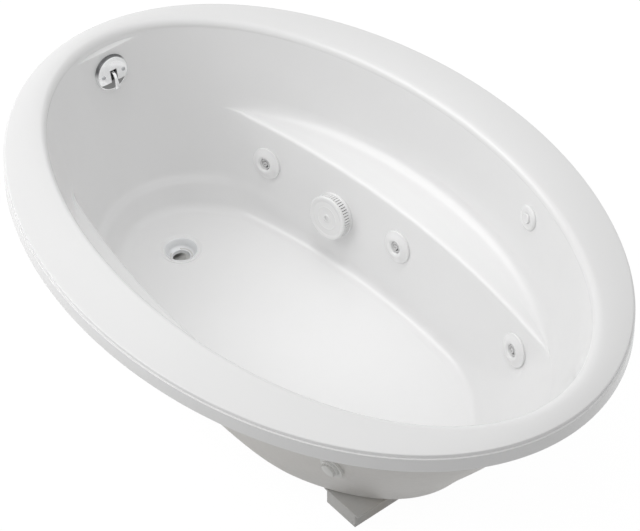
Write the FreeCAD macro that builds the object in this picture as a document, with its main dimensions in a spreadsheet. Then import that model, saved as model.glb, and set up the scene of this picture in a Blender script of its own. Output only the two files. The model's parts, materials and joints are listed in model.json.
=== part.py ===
import FreeCAD, Part
import math
import os
import re

import Sketcher
from FreeCAD import Placement, Rotation, Vector

# Oval drop-in bathtub with water jets.
# Origin: on the floor, under the centre of the rim. +X points to the backrest end, -X to the drain end,
# +Y to the pump side, +Z up. Lengths are in millimetres.

os.makedirs("parts", exist_ok=True)
doc = FreeCAD.newDocument("jetted_bathtub")
sheet = doc.addObject("Spreadsheet::Sheet", "sizes")

# ---------------------------------------------------------------- driving sizes

SIZES = {
    "rim": dict(
        overall_length=1524, overall_width=1067, overall_height=508, deck_crown=8,
        rim_step=8, rim_step_inset=5, bead_height=4, bead_inset=1.5, skirt_height=29, skirt_flare=2,
        rim_wall=8, crown_end_inset=40, crown_side_inset=99.5,
        roll_depth=16, roll_width=14, roll_width_back=26,
    ),
    "bowl inside, at each depth below the rim edge": dict(
        mouth_drain=705, mouth_back=700, mouth_side=415,
        shoulder_depth=100, shoulder_drain=682, shoulder_back=668, shoulder_side=398,
        elbow_depth=200, elbow_drain=656, elbow_back=614, elbow_side=377,
        waist_depth=300, waist_drain=631, waist_back=547, waist_side=345,
        heel_depth=390, heel_drain=606, heel_back=482, heel_side=305,
        floor_depth=438, floor_drain=585, floor_back=442, floor_side=272,
        floor_fillet=30,
    ),
    "armrests": dict(
        armrest_depth=200, armrest_gap=285, armrest_radius=2200, armrest_draft=37, armrest_bow=9.3,
        armrest_edge=12, armrest_wall=13,
    ),
    "shell": dict(
        shell_wall=8, base_height=24, base_side=276, board_thickness=16, board_lip=24, board_clearance=0.3,
        board_drain_edge=-385,
    ),
    "feet": dict(
        foot_width=89, foot_length=390, foot_plate=4, foot_plate_overhang=9,
        drain_foot_x=-320, back_foot_x=335.5,
    ),
    "fits": dict(hole_clearance=0.3, running_gap=0.3, thread_clearance=0.1, pin_clearance=0.05),
    "jets": dict(
        jet1_x=-421.5, jet1_depth=291, jet2_x=-28, jet2_depth=290, jet3_x=373, jet3_depth=274,
        jet_hole=21, jet_pad_radius=38, jet_pad_thickness=12, jet_flange_radius=30, jet_flange_thickness=3,
        jet_gasket=1.5, jet_nut_radius=27.5, jet_nut_thickness=7, jet_nut_margin=2,
        jet_chamber_radius=14, jet_chamber_length=24, jet_bore=9, jet_wall=2,
        jet_port_radius=9, jet_port_bore=6.5, jet_port_height=26,
        ring_radius=37.5, ring_edge_height=4.5, ring_height=10.5, ring_crest_radius=20, ring_lip_radius=12,
        ring_lip_height=7.5, ring_sleeve_radius=17, ring_sleeve_depth=5, ring_rounding=2,
        nozzle_radius=13, nozzle_front=9.5, nozzle_back=9, nozzle_bore=5.5, nozzle_mouth=7,
    ),
    "suction fitting": dict(
        suction_x=-218, suction_depth=318, suction_hole=30.5, suction_pad_radius=50, suction_pad_thickness=13,
        suction_gasket=2, suction_flange_radius=47, suction_flange_thickness=4, suction_bore=21,
        suction_nut_radius=43, suction_nut_thickness=10, suction_nut_notches=8, suction_socket_radius=28,
        suction_length=50, suction_socket_depth=18, cover_radius=56, cover_height=29, cover_wall=3.5,
        cover_slots=28, cover_slot_width=5, cover_slot_top=22, cover_slot_bottom=6, cover_ring_height=1.6,
        cover_ring_width=3, cover_boss=8, spider_width=9, spider_depth=6, cover_screw=2.4, cover_screw_head=5,
    ),
    "air switch": dict(
        switch_x=255, switch_depth=68, switch_hole=17, switch_pad_radius=29, switch_pad_thickness=10,
        switch_flange_radius=22, switch_flange_thickness=1.5, bezel_radius=27.5, bezel_edge=2.5, bezel_height=6,
        switch_nut_radius=23, switch_nut_thickness=7, switch_length=24, button_radius=11.2, button_proud=2.5,
        button_collar=13, button_depth=8, switch_well=13.6, switch_floor=18, nipple_radius=2.6, nipple_length=10,
    ),
    "drain": dict(
        drain_x=-450, drain_hole=33, drain_dish_radius=52, drain_dish_depth=3, drain_flange_radius=38,
        drain_flange_thickness=2.5, drain_cup_radius=30, drain_cup_depth=14, drain_cup_wall=2.5, drain_throat=20,
        drain_barrel=22.5, drain_barrel_length=14, drain_gasket=2, shoe_flange_radius=44,
        shoe_flange_thickness=4, shoe_radius=27, shoe_wall=4, shoe_bottom=6, shoe_floor=3, shoe_arm_length=58,
    ),
    "waste and overflow": dict(
        waste_pipe_radius=19.05, waste_pipe_bore=17.65, waste_height=28, socket_wall=3.4, socket_depth=18,
        waste_x=-712, tee_top=82, tee_arm=44, outlet_end=-88, tailpiece_exposed=39, tailpiece_neck=0.25,
        overflow_depth=72, overflow_pad_top_x=-689,
        overflow_pad_slope=10.6, overflow_pad_top_depth=18, overflow_pad_bottom_depth=230, overflow_hole=33,
        overflow_pocket=47, overflow_wall=8, elbow_bore=23, elbow_wall=3, elbow_flange_radius=44,
        elbow_flange_thickness=4, overflow_gasket=2, elbow_drop=62, slip_nut_radius=25.5, slip_nut_length=14,
        slip_nut_lip=4, plate_radius=42, plate_base=2, plate_dome=11, plate_wall=1.8, plate_hood_edge=-14,
        plate_window=15, plate_slot_width=8.4, plate_screw_offset=26, screw_radius=2.4, screw_head=4.6,
        screw_head_height=2, lever_pivot_height=5, lever_barrel=4.2, lever_width=6.6,
        lever_reach=15, lever_drop=38, lever_thickness=3.4, lever_arm=40.4, lever_arm_radius=2.2,
        lever_rise_angle=8, lever_travel_angle=39, hinge_pin=1.8, lug_thickness=2.4, lug_radius=4,
        rod_radius=2.5, rod_offset=4.6, fork_length=16, fork_height=9, fork_thickness=3, fork_play=0.8, drive_pin=2,
        plunger_radius=17, plunger_length=36, plunger_rest=38,
    ),
    "pump": dict(
        pump_x=-90, pump_y=372, pump_height=86, volute_radius=66, volute_front=32, volute_back=32, volute_wall=6,
        pump_inlet_radius=27, pump_inlet_length=26, pump_inlet_bore=21, pump_outlet_radius=21,
        pump_outlet_bore=14, pump_outlet_height=92, back_plate_thickness=9, shaft_radius=8,
        impeller_radius=48, impeller_disc=4, impeller_disc_height=10, impeller_vane_height=24,
        impeller_vane_thickness=3.5, impeller_hub=13, impeller_vanes=6, motor_radius=59, motor_length=172,
        motor_fins=18, motor_fin_height=5, motor_fin_thickness=3, motor_fin_margin=12, motor_bore=8.3,
        fan_radius=50, fan_hub=13, fan_blades=7, fan_blade_thickness=3, fan_width=14, fan_gap=5,
        fan_cover_length=34, fan_cover_wall=2.5, fan_slots=10, fan_slot_width=7, fan_slot_inner=16,
        fan_slot_outer=46, control_box_length=60, control_box_width=44, control_box_height=24,
        control_box_start=60, bracket_thickness=4, bracket_width=128, bracket_margin=12,
        saddle_thickness=12, saddle_width=96, saddle_top=52, bracket_foot_hole=4.5, bracket_hole_x=60,
        bracket_hole_y=54,
    ),
    "piping": dict(
        suction_pipe_radius=24.15, suction_pipe_bore=20.5, suction_pipe_bend=34, manifold_radius=13.35,
        manifold_height=262, manifold_y=316, manifold_arc=2207, manifold_start=398, manifold_end=-480,
        manifold_run=66, manifold_bend=60, manifold_drain_x=-674, manifold_drain_y=100, branch_radius=12,
        branch_socket=10, discharge_radius=16.7, discharge_bend=30, union_width=20, union_lip=5, union_wall=6,
        air_pipe_radius=8, air_pipe_offset=26, air_pipe_height=232, air_branch_radius=4.5, air_branch_bend=12,
        air_intake_x=150, air_intake_y=440, air_intake_top=420, air_intake_bend=26, air_cap_radius=17,
        air_cap_height=32, air_cap_slots=8, switch_tube_radius=4.2, switch_tube_bend=25, switch_tube_run=35,
        switch_tube_height=205,
    ),
}

names = set()
row = 1
for heading, group in SIZES.items():
    sheet.set(f"A{row}", heading)
    row += 1
    for name, number in group.items():
        sheet.set(f"A{row}", name)
        sheet.set(f"B{row}", str(number))
        sheet.setAlias(f"B{row}", name)
        names.add(name)
        row += 1
doc.recompute()


def bound(text):
    """The formula with each size's name written as a reference to the sheet."""
    return re.sub(r"[a-z_][a-z0-9_]*", lambda m: "sizes." + m.group() if m.group() in names else m.group(), str(text))


def value(text):
    """The formula's present value."""
    return float(sheet.evalExpression(bound(text)))


def bind(thing, prop, text):
    thing.setExpression(prop, bound(text))


# Heights that several pieces share.
RIM_EDGE = "(overall_height - deck_crown)"
FLOOR = f"({RIM_EDGE} - floor_depth)"
BASE = f"({FLOOR} - base_height)"
ROOF = f"({BASE} + board_thickness)"
ARM_TOP = f"({RIM_EDGE} - armrest_depth)"

# ---------------------------------------------------------------- building blocks


pieces = []


def plane(body, role):
    return next(item for item in body.Origin.OriginFeatures if item.Role == role)


def body_named(name):
    body = doc.addObject("PartDesign::Body", name)
    body.Label = name
    pieces.append(body)
    return body


def outline(body, points, role="XZ_Plane", offset="0"):
    """A closed outline whose corners are bound to the sheet, on one of the body's own planes."""
    sketch = body.newObject("Sketcher::SketchObject", body.Name + "_outline")
    sketch.AttachmentSupport = [(plane(body, role), "")]
    sketch.MapMode = "FlatFace"
    bind(sketch, "AttachmentOffset.Base.z", offset)
    corners = [Vector(value(x), value(y), 0) for x, y in points]
    count = len(corners)
    for i in range(count):
        sketch.addGeometry(Part.LineSegment(corners[i], corners[(i + 1) % count]), False)
    for i in range(count):
        sketch.addConstraint(Sketcher.Constraint("Coincident", i, 2, (i + 1) % count, 1))
    for i, (x, y) in enumerate(points):
        for kind, axis, text, number in (("DistanceX", -2, x, corners[i].x), ("DistanceY", -1, y, corners[i].y)):
            if abs(number) < 1e-9:
                sketch.addConstraint(Sketcher.Constraint("PointOnObject", i, 1, axis))
            else:
                mark = sketch.addConstraint(Sketcher.Constraint(kind, i, 1, number))
                bind(sketch, f"Constraints[{mark}]", text)
    return sketch


def rings(body, circles, role="XY_Plane", offset="0"):
    """Circles (x, y, radius), bound to the sheet, on one of the body's own planes."""
    sketch = body.newObject("Sketcher::SketchObject", body.Name + "_circles")
    sketch.AttachmentSupport = [(plane(body, role), "")]
    sketch.MapMode = "FlatFace"
    bind(sketch, "AttachmentOffset.Base.z", offset)
    for i, (x, y, radius) in enumerate(circles):
        sketch.addGeometry(Part.Circle(Vector(value(x), value(y), 0), Vector(0, 0, 1), value(radius)), False)
        mark = sketch.addConstraint(Sketcher.Constraint("Radius", i, value(radius)))
        bind(sketch, f"Constraints[{mark}]", radius)
        for kind, axis, text in (("DistanceX", -2, x), ("DistanceY", -1, y)):
            if abs(value(text)) < 1e-9:
                sketch.addConstraint(Sketcher.Constraint("PointOnObject", i, 3, axis))
            else:
                mark = sketch.addConstraint(Sketcher.Constraint(kind, i, 3, value(text)))
                bind(sketch, f"Constraints[{mark}]", text)
    return sketch


def feature(body, kind, sketch, length=None, back=None, reverse=False):
    """A Pad or Pocket of a sketch. A second length runs the other way."""
    made = body.newObject("PartDesign::" + kind, f"{body.Name}_{kind.lower()}")
    made.Profile = sketch
    bind(made, "Length", length)
    made.Reversed = reverse
    if back is not None:
        made.Type = 4
        bind(made, "Length2", back)
    sketch.Visibility = False
    return made


def turn(body, points, kind="Revolution"):
    """Turns an outline (radius, height) about the body's Z axis."""
    sketch = outline(body, points)
    made = body.newObject("PartDesign::" + kind, f"{body.Name}_{kind.lower()}")
    made.Profile = sketch
    made.ReferenceAxis = (sketch, ["V_Axis"])
    made.Angle = 360
    doc.recompute()
    return made


def repeat(body, features, count):
    """Repeats features about the body's Z axis."""
    pattern = body.newObject("PartDesign::PolarPattern", body.Name + "_pattern")
    pattern.Originals = features
    pattern.Axis = (plane(body, "Z_Axis"), [""])
    pattern.Angle = 360
    bind(pattern, "Occurrences", count)
    body.Tip = pattern
    doc.recompute()
    return pattern


def round_edges(body, radius, chosen):
    """Rounds the body's edges that the test picks."""
    doc.recompute()
    base = body.Tip
    picked = [f"Edge{i}" for i, edge in enumerate(base.Shape.Edges, 1) if chosen(edge)]
    made = body.newObject("PartDesign::Fillet", body.Name + "_rounding")
    made.Base = (base, picked)
    bind(made, "Radius", radius)
    doc.recompute()
    return made


def circle_at(radius, height):
    """Picks full circles of one radius at one height."""
    def test(edge):
        box = edge.BoundBox
        return (
            isinstance(edge.Curve, Part.Circle)
            and abs(edge.Curve.Radius - value(radius)) < 0.01
            and abs(box.ZMin - value(height)) < 0.01
            and abs(box.ZMax - value(height)) < 0.01
        )
    return test


def solid(name, shape, placement=None):
    """A piece whose shape is worked out here."""
    made = doc.addObject("Part::Feature", name)
    made.Label = name
    pieces.append(made)
    made.Shape = shape
    if placement is not None:
        made.Placement = placement
    return made


def cylinder(radius, start, end):
    """A cylinder between two points."""
    axis = end - start
    return Part.makeCylinder(radius, axis.Length, start, axis)


def rounded_run(points, bend):
    """A path of straight runs joined by tangent arcs."""
    edges = []
    here = points[0]
    for before, corner, after in zip(points, points[1:], points[2:]):
        way_in = (corner - before).normalize()
        way_out = (after - corner).normalize()
        turn_angle = way_in.getAngle(way_out)
        if turn_angle < 1e-4:
            continue
        reach = bend * math.tan(turn_angle / 2)
        start = corner - way_in * reach
        end = corner + way_out * reach
        middle = corner + (way_out - way_in).normalize() * (bend / math.cos(turn_angle / 2) - bend)
        edges.append(Part.makeLine(here, start))
        edges.append(Part.Arc(start, middle, end).toShape())
        here = end
    edges.append(Part.makeLine(here, points[-1]))
    return Part.Wire(edges)


def pipe(points, radius, bend):
    """A round bar along a path of straight runs and arcs."""
    path = rounded_run(points, bend)
    first = (points[1] - points[0]).normalize()
    section = Part.Wire([Part.makeCircle(radius, points[0], first)])
    return path.makePipeShell([section], True, False)


# ---------------------------------------------------------------- the shell's forms


def oval(name, height, drain, back, side):
    """An ellipse that reaches a length towards each end, and half a width to each side."""
    made = doc.addObject("Part::Ellipse", name)
    bind(made, "MajorRadius", f"({drain} + {back}) / 2")
    bind(made, "MinorRadius", side)
    bind(made, "Placement.Base.x", f"({back} - ({drain})) / 2")
    bind(made, "Placement.Base.z", height)
    return made


def lofted(name, sections, ruled):
    made = doc.addObject("Part::Loft", name)
    made.Sections = [oval(f"{name}_{i}", *section) for i, section in enumerate(sections)]
    made.Solid = True
    made.Ruled = ruled
    doc.recompute()
    return made


def joined(name, parts):
    made = doc.addObject("Part::MultiFuse", name)
    made.Shapes = parts
    made.Refine = False
    doc.recompute()
    return made


def cut(name, base, tool):
    made = doc.addObject("Part::Cut", name)
    made.Base = base
    made.Tool = tool
    made.Refine = False
    doc.recompute()
    return made


def filleted(name, base, radius, chosen):
    made = doc.addObject("Part::Fillet", name)
    made.Base = base
    size = value(radius)
    made.Edges = [(i, size, size) for i, edge in enumerate(base.Shape.Edges, 1) if chosen(edge)]
    doc.recompute()
    return made


def level_edge(height):
    """Picks edges that lie flat at one height."""
    return lambda edge: edge.BoundBox.ZLength < 0.01 and abs(edge.BoundBox.ZMin - value(height)) < 0.01


def bowl_levels(grow, top, bottom, bottom_side):
    """The bowl's ovals from its mouth to its floor, grown outwards by a wall."""
    levels = [(top, f"mouth_drain + {grow}", f"mouth_back + {grow}", f"mouth_side + {grow}")]
    for level in ("shoulder", "elbow", "waist", "heel"):
        reach = [f"{level}_{way} + {grow}" for way in ("drain", "back", "side")]
        levels.append((f"{RIM_EDGE} - {level}_depth", *reach))
    levels.append((bottom, "floor_drain", "floor_back", bottom_side))
    return levels


def armrest(name, side, top, gap, edge):
    """The block under one ledge: its bowed and sloping front is the armrest's face, its flat top is the ledge."""
    high = value(top)
    low = value(f"{BASE}") / 2
    lean = value(f"armrest_draft / ({ARM_TOP} - {FLOOR})") * (high - low)
    reach = value("overall_length / 2") + 40
    back = value("overall_width / 2") + 100
    wires = []
    for level, front, radius in (
        (low, value(gap) - lean, value("armrest_radius") - value("armrest_bow") * lean),
        (high, value(gap), value("armrest_radius")),
    ):
        end = front - (radius - math.sqrt(radius ** 2 - reach ** 2))
        corners = [Vector(x, side * y, level) for x, y in ((reach, end), (reach, back), (-reach, back), (-reach, end))]
        bow = Part.Arc(corners[3], Vector(0, side * front, level), corners[0]).toShape()
        wires.append(Part.Wire([bow] + [Part.makeLine(corners[i], corners[i + 1]) for i in range(3)]))
    block = Part.makeLoft(wires, True, True)
    rim_edges = [
        e for e in block.Edges
        if abs(e.BoundBox.ZMin - high) < 0.01 and e.BoundBox.ZLength < 0.01
        and e.BoundBox.XLength > reach and e.BoundBox.YLength > 5
    ]
    made = doc.addObject("Part::Feature", name)
    made.Shape = block.makeFillet(value(edge), rim_edges)
    return made


mouth_above = (f"{RIM_EDGE} + 40", "mouth_drain + 7", "mouth_back + 9", "mouth_side + 6")
inside = lofted("bowl_inside", [mouth_above] + bowl_levels("0", RIM_EDGE, FLOOR, "floor_side"), False)
inside = filleted("bowl_rounded", inside, "floor_fillet", level_edge(FLOOR))
outside = lofted("bowl_outside", bowl_levels("shell_wall", f"{RIM_EDGE} - rim_wall / 2", BASE, "base_side"), False)
outside = filleted("bowl_back_rounded", outside, "floor_fillet", level_edge(BASE))
for side in (1, -1):
    hand = "far" if side > 0 else "near"
    front = armrest(f"armrest_{hand}", side, ARM_TOP, "armrest_gap", "armrest_edge")
    inside = cut(f"bowl_inside_{hand}", inside, front)
    back = armrest(
        f"armrest_back_{hand}", side, f"({ARM_TOP} - shell_wall)", "(armrest_gap + armrest_wall)", "armrest_edge"
    )
    outside = cut(f"bowl_outside_{hand}", outside, back)

half_length = "overall_length / 2"
half_width = "overall_width / 2"


def rim_ring(name, low, high, low_inset, high_inset):
    """A band of the rim between two ovals, each set in from the rim's full size."""
    return lofted(
        name,
        [
            (level, f"{half_length} - {inset}", f"{half_length} - {inset}", f"{half_width} - {inset}")
            for level, inset in ((low, low_inset), (high, high_inset))
        ],
        True,
    )


step_foot = f"({RIM_EDGE} - rim_step)"
bead_foot = f"({step_foot} - bead_height)"
skirt_foot = f"({bead_foot} - skirt_height)"
deck = lofted(
    "rim_deck",
    [
        (RIM_EDGE, f"{half_length} - rim_step_inset", f"{half_length} - rim_step_inset",
         f"{half_width} - rim_step_inset"),
        ("overall_height", f"{half_length} - crown_end_inset", f"{half_length} - crown_end_inset",
         f"{half_width} - crown_side_inset"),
    ],
    True,
)
rim = joined(
    "rim_outside",
    [
        deck,
        rim_ring("rim_edge_step", step_foot, RIM_EDGE, "rim_step_inset", "rim_step_inset"),
        rim_ring("rim_bead", bead_foot, step_foot, "bead_inset", "bead_inset"),
        rim_ring("rim_skirt", skirt_foot, bead_foot, "0", "skirt_flare"),
    ],
)
under = rim_ring("rim_under", f"{skirt_foot} - 1", step_foot, "rim_wall", "(rim_wall + skirt_flare)")
rim = cut("rim_hollow", rim, under)

# The mouth's roll: ovals that flare out by a quarter turn from the bowl's wall to the deck.
roll_steps = 4
roll_levels = []
for k in range(roll_steps + 1):
    angle = math.pi / 2 * k / roll_steps
    out = round(1 - math.cos(angle), 6)
    up = round(math.sin(angle), 6)
    roll_levels.append(
        (
            f"overall_height - roll_depth * (1 - {up})",
            f"mouth_drain - 2 + roll_width * {out}",
            f"mouth_back - 2 + roll_width_back * {out}",
            f"mouth_side - 2 + roll_width * {out}",
        )
    )
mouth = lofted("mouth_roll", roll_levels, True)

blank = joined("shell_blank", [rim, outside])
blank = cut("shell_open", blank, inside)
blank = cut("shell_mouth", blank, mouth)

# ---------------------------------------------------------------- where the fittings sit

well = inside.Shape


def wall_point(x, depth, side):
    """The point and the inward normal of the bowl's wall at one place."""
    height = value(f"{RIM_EDGE}") - depth
    line = Part.makeLine(Vector(x, 0, height), Vector(x, side * value("overall_width"), height))
    inside_part = well.common(line)
    spot = max((v.Point for v in inside_part.Vertexes), key=lambda p: abs(p.y))
    face = min(well.Faces, key=lambda f: f.distToShape(Part.Vertex(spot))[0])
    u, v = face.Surface.parameter(spot)
    normal = face.normalAt(u, v)
    if normal.dot(Vector(-spot.x, -spot.y, 0)) < 0:
        normal = normal * -1
    return spot, normal


def seat_frame(x, depth, side, pad_radius):
    """Frame of a flat seat on the wall: local Z looks into the tub, local Y looks up."""
    spot, normal = wall_point(x, depth, side)
    upward = (Vector(0, 0, 1) - normal * normal.z).normalize()
    across = upward.cross(normal)
    lift = 0.0
    for k in range(12):
        angle = math.pi * k / 6
        foot = spot + (across * math.cos(angle) + upward * math.sin(angle)) * pad_radius
        line = Part.makeLine(foot + normal * pad_radius, foot - normal * pad_radius)
        reach = min((v.Point - foot).dot(normal) for v in well.common(line).Vertexes)
        lift = max(lift, reach)
    return Placement(spot + normal * lift, Rotation(across, upward, normal, "ZYX"))


jet_spots = [("jet1", 1), ("jet2", 1), ("jet3", 1), ("jet1", -1), ("jet2", -1), ("jet3", -1)]
jet_frames = [
    seat_frame(value(f"{jet}_x"), value(f"{jet}_depth"), side, value("jet_pad_radius")) for jet, side in jet_spots
]
suction_frame = seat_frame(value("suction_x"), value("suction_depth"), 1, value("suction_pad_radius"))
switch_frame = seat_frame(value("switch_x"), value("switch_depth"), 1, value("switch_pad_radius"))
pad_slope = math.radians(value("overflow_pad_slope"))
pad_facing = Vector(math.cos(pad_slope), 0, math.sin(pad_slope))
pad_upward = Vector(-math.sin(pad_slope), 0, math.cos(pad_slope))
pad_drop = value("overflow_depth - overflow_pad_top_depth")
overflow_frame = Placement(
    Vector(
        value("overflow_pad_top_x") + pad_drop * math.tan(pad_slope), 0, value(f"{RIM_EDGE} - overflow_depth")
    ),
    Rotation(Vector(0, 1, 0), pad_upward, pad_facing, "ZYX"),
)


def local_cylinder(frame, radius, low, high):
    """A cylinder along a frame's Z axis."""
    start = frame.multVec(Vector(0, 0, low))
    return cylinder(radius, start, frame.multVec(Vector(0, 0, high)))


# ---------------------------------------------------------------- the finished shell


# The overflow stands on a flat whose slope is a little steeper than the wall's, so the flat's outline is a
# shield: straight on top, and running out to a point below.
pad_top = value(f"{RIM_EDGE} - overflow_pad_top_depth")
pad_low = value(f"{RIM_EDGE} - overflow_pad_bottom_depth")
pad_top_x = value("overflow_pad_top_x")
pad_low_x = pad_top_x + (pad_top - pad_low) * math.tan(pad_slope)
pad_back_x = -value("overall_length") / 2
pad_side = value("overflow_pad_bottom_depth")
pad_corners = [(pad_back_x, pad_low), (pad_low_x, pad_low), (pad_top_x, pad_top), (pad_back_x, pad_top)]
pad_face = Part.Face(Part.makePolygon([Vector(x, -pad_side, z) for x, z in pad_corners + pad_corners[:1]]))
overflow_pad = pad_face.extrude(Vector(0, 2 * pad_side, 0)).common(outside.Shape)

shell = blank.Shape.fuse(overflow_pad)
pads = [
    (frame, value("jet_pad_radius"), value("jet_pad_thickness"), value("jet_hole"), value("jet_nut_radius"))
    for frame in jet_frames
]
pads.append((suction_frame, value("suction_pad_radius"), value("suction_pad_thickness"), value("suction_hole"),
             value("suction_nut_radius")))
pads.append((switch_frame, value("switch_pad_radius"), value("switch_pad_thickness"), value("switch_hole"),
             value("switch_nut_radius")))
shell = shell.fuse([local_cylinder(frame, radius, -thickness, 0) for frame, radius, thickness, hole, nut in pads])
openings = []
for frame, radius, thickness, hole, nut in pads:
    openings.append(local_cylinder(frame, hole, -4 * thickness, thickness))
    openings.append(local_cylinder(frame, nut + 1, -4 * thickness, -thickness))

floor_z = value(FLOOR)
base_z = value(BASE)
roof_z = value(ROOF)
drain_at = Vector(value("drain_x"), 0, floor_z)
dish = Part.makeCone(
    value("drain_flange_radius") + 0.5, value("drain_dish_radius"), value("drain_dish_depth"),
    drain_at - Vector(0, 0, value("drain_dish_depth")),
)
openings.append(dish)
openings.append(Part.makeCylinder(value("drain_hole"), 80, drain_at - Vector(0, 0, 60)))


def base_oval(grow, low, high):
    """The base pocket's oval column, between two heights."""
    drain = value("floor_drain - board_lip") + grow
    back = value("floor_back - board_lip") + grow
    side = value("armrest_gap - armrest_draft + armrest_wall - board_lip") + grow
    curve = Part.Ellipse(Vector((back - drain) / 2, 0, low), (back + drain) / 2, side)
    return Part.Face(Part.Wire([curve.toShape()])).extrude(Vector(0, 0, high - low))


openings.append(base_oval(0, base_z - 1, roof_z))
channel = value("slip_nut_radius + 1")
channel_corner = Vector(value("drain_x") - 200, -channel, base_z - 1)
openings.append(Part.makeBox(200, 2 * channel, roof_z - base_z + 1, channel_corner))
openings.append(local_cylinder(overflow_frame, value("overflow_hole"), -60, 20))
openings.append(local_cylinder(overflow_frame, value("overflow_pocket"), -60, -value("overflow_wall")))
shell = shell.cut(openings)
solid("tub_shell", shell)

board = base_oval(-value("board_clearance"), base_z, roof_z)
board = board.common(Part.makeBox(2000, 1000, 100, Vector(value("board_drain_edge"), -500, base_z - 10)))
solid("base_board", board)

# ---------------------------------------------------------------- feet

foot_top = f"({BASE} - foot_plate)"
for name, x in (("drain_end_foot", "drain_foot_x"), ("backrest_end_foot", "back_foot_x")):
    foot = body_named(name)
    half = "foot_width / 2"
    sketch = outline(foot, [(f"-{half}", "-foot_length / 2"), (half, "-foot_length / 2"),
                            (half, "foot_length / 2"), (f"-{half}", "foot_length / 2")], "XY_Plane")
    feature(foot, "Pad", sketch, foot_top)
    bind(foot, "Placement.Base.x", x)
plates = []
for x in ("drain_foot_x", "back_foot_x"):
    wide = value("foot_width + 2 * foot_plate_overhang")
    corner = Vector(value(x) - wide / 2, -value("foot_length") / 2, value(foot_top))
    plates.append(Part.makeBox(wide, value("foot_length"), value("foot_plate"), corner))
solid("foot_plates", Part.makeCompound(plates))

# ---------------------------------------------------------------- jets

flange_top = "(jet_gasket + jet_flange_thickness)"
barrel = "(jet_hole - hole_clearance)"
barrel_end = "(-(jet_pad_thickness + jet_nut_thickness + jet_nut_margin))"
chamber_end = f"({barrel_end} - jet_chamber_length)"
throat = "(ring_sleeve_radius + running_gap)"
port_middle = f"({barrel_end} - jet_chamber_length / 2)"
nuts = []
gaskets = []
for number, frame in enumerate(jet_frames, 1):
    jet = body_named(f"jet_body_{number}")
    turn(jet, [
        (throat, flange_top),
        ("jet_flange_radius", flange_top),
        ("jet_flange_radius", "jet_gasket"),
        (barrel, "jet_gasket"),
        (barrel, barrel_end),
        ("jet_chamber_radius", barrel_end),
        ("jet_chamber_radius", chamber_end),
        ("0", chamber_end),
        ("0", f"{chamber_end} + jet_wall"),
        ("jet_bore", f"{chamber_end} + jet_wall"),
        ("jet_bore", "-(ring_sleeve_depth + 9)"),
        (throat, "-(ring_sleeve_depth + 3)"),
    ])
    stub = rings(jet, [("0", port_middle, "jet_port_radius")], "XZ_Plane")
    feature(jet, "Pad", stub, "jet_port_height", reverse=True)
    drill = rings(jet, [("0", port_middle, "jet_port_bore")], "XZ_Plane")
    feature(jet, "Pocket", drill, "jet_port_height", reverse=False)
    jet.Placement = frame

    ring = body_named(f"jet_trim_ring_{number}")
    turn(ring, [
        ("ring_radius", "running_gap"),
        ("ring_radius", "ring_edge_height"),
        ("ring_crest_radius", "ring_height"),
        ("ring_lip_radius", "ring_lip_height"),
        ("ring_lip_radius", "-ring_sleeve_depth"),
        ("ring_sleeve_radius", "-ring_sleeve_depth"),
        ("ring_sleeve_radius", f"{flange_top} + running_gap"),
        ("jet_flange_radius + running_gap", f"{flange_top} + running_gap"),
        ("jet_flange_radius + running_gap", "running_gap"),
    ])
    socket = ring.newObject("PartDesign::SubtractiveSphere", ring.Name + "_socket")
    bind(socket, "Radius", "nozzle_radius + running_gap")
    doc.recompute()
    round_edges(ring, "ring_rounding", circle_at("ring_radius", "ring_edge_height"))
    ring.Placement = frame

    nozzle = body_named(f"jet_nozzle_{number}")
    ball = nozzle.newObject("PartDesign::AdditiveSphere", nozzle.Name + "_ball")
    bind(ball, "Radius", "nozzle_radius")
    bind(ball, "Angle1", "-asin(nozzle_back / nozzle_radius)")
    bind(ball, "Angle2", "asin(nozzle_front / nozzle_radius)")
    doc.recompute()
    turn(nozzle, [
        ("0", "-nozzle_radius"),
        ("nozzle_mouth", "-nozzle_radius"),
        ("nozzle_bore", "0"),
        ("nozzle_bore", "nozzle_radius / 2"),
        ("nozzle_mouth", "nozzle_radius"),
        ("0", "nozzle_radius"),
    ], "Groove")
    nozzle.Placement = frame

    pad = value("jet_pad_thickness")
    nut = Part.makeCylinder(value("jet_nut_radius"), value("jet_nut_thickness"))
    nut = nut.cut(Part.makeCylinder(value(f"{barrel} + thread_clearance"), value("jet_nut_thickness")))
    nut.Placement = frame.multiply(Placement(Vector(0, 0, -pad - value("jet_nut_thickness")), Rotation()))
    nuts.append(nut)
    seal = Part.makeCylinder(value("jet_flange_radius - 0.5"), value("jet_gasket"))
    seal = seal.cut(Part.makeCylinder(value(f"{barrel} + 0.3"), value("jet_gasket")))
    seal.Placement = frame
    gaskets.append(seal)
solid("jet_lock_nuts", Part.makeCompound(nuts))
solid("jet_gaskets", Part.makeCompound(gaskets))

# ---------------------------------------------------------------- suction fitting


def ring_solid(outer, inner, low, high):
    """A ring about the Z axis between two heights."""
    made = Part.makeCylinder(outer, high - low, Vector(0, 0, low))
    return made.cut(Part.makeCylinder(inner, high - low, Vector(0, 0, low)))


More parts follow.
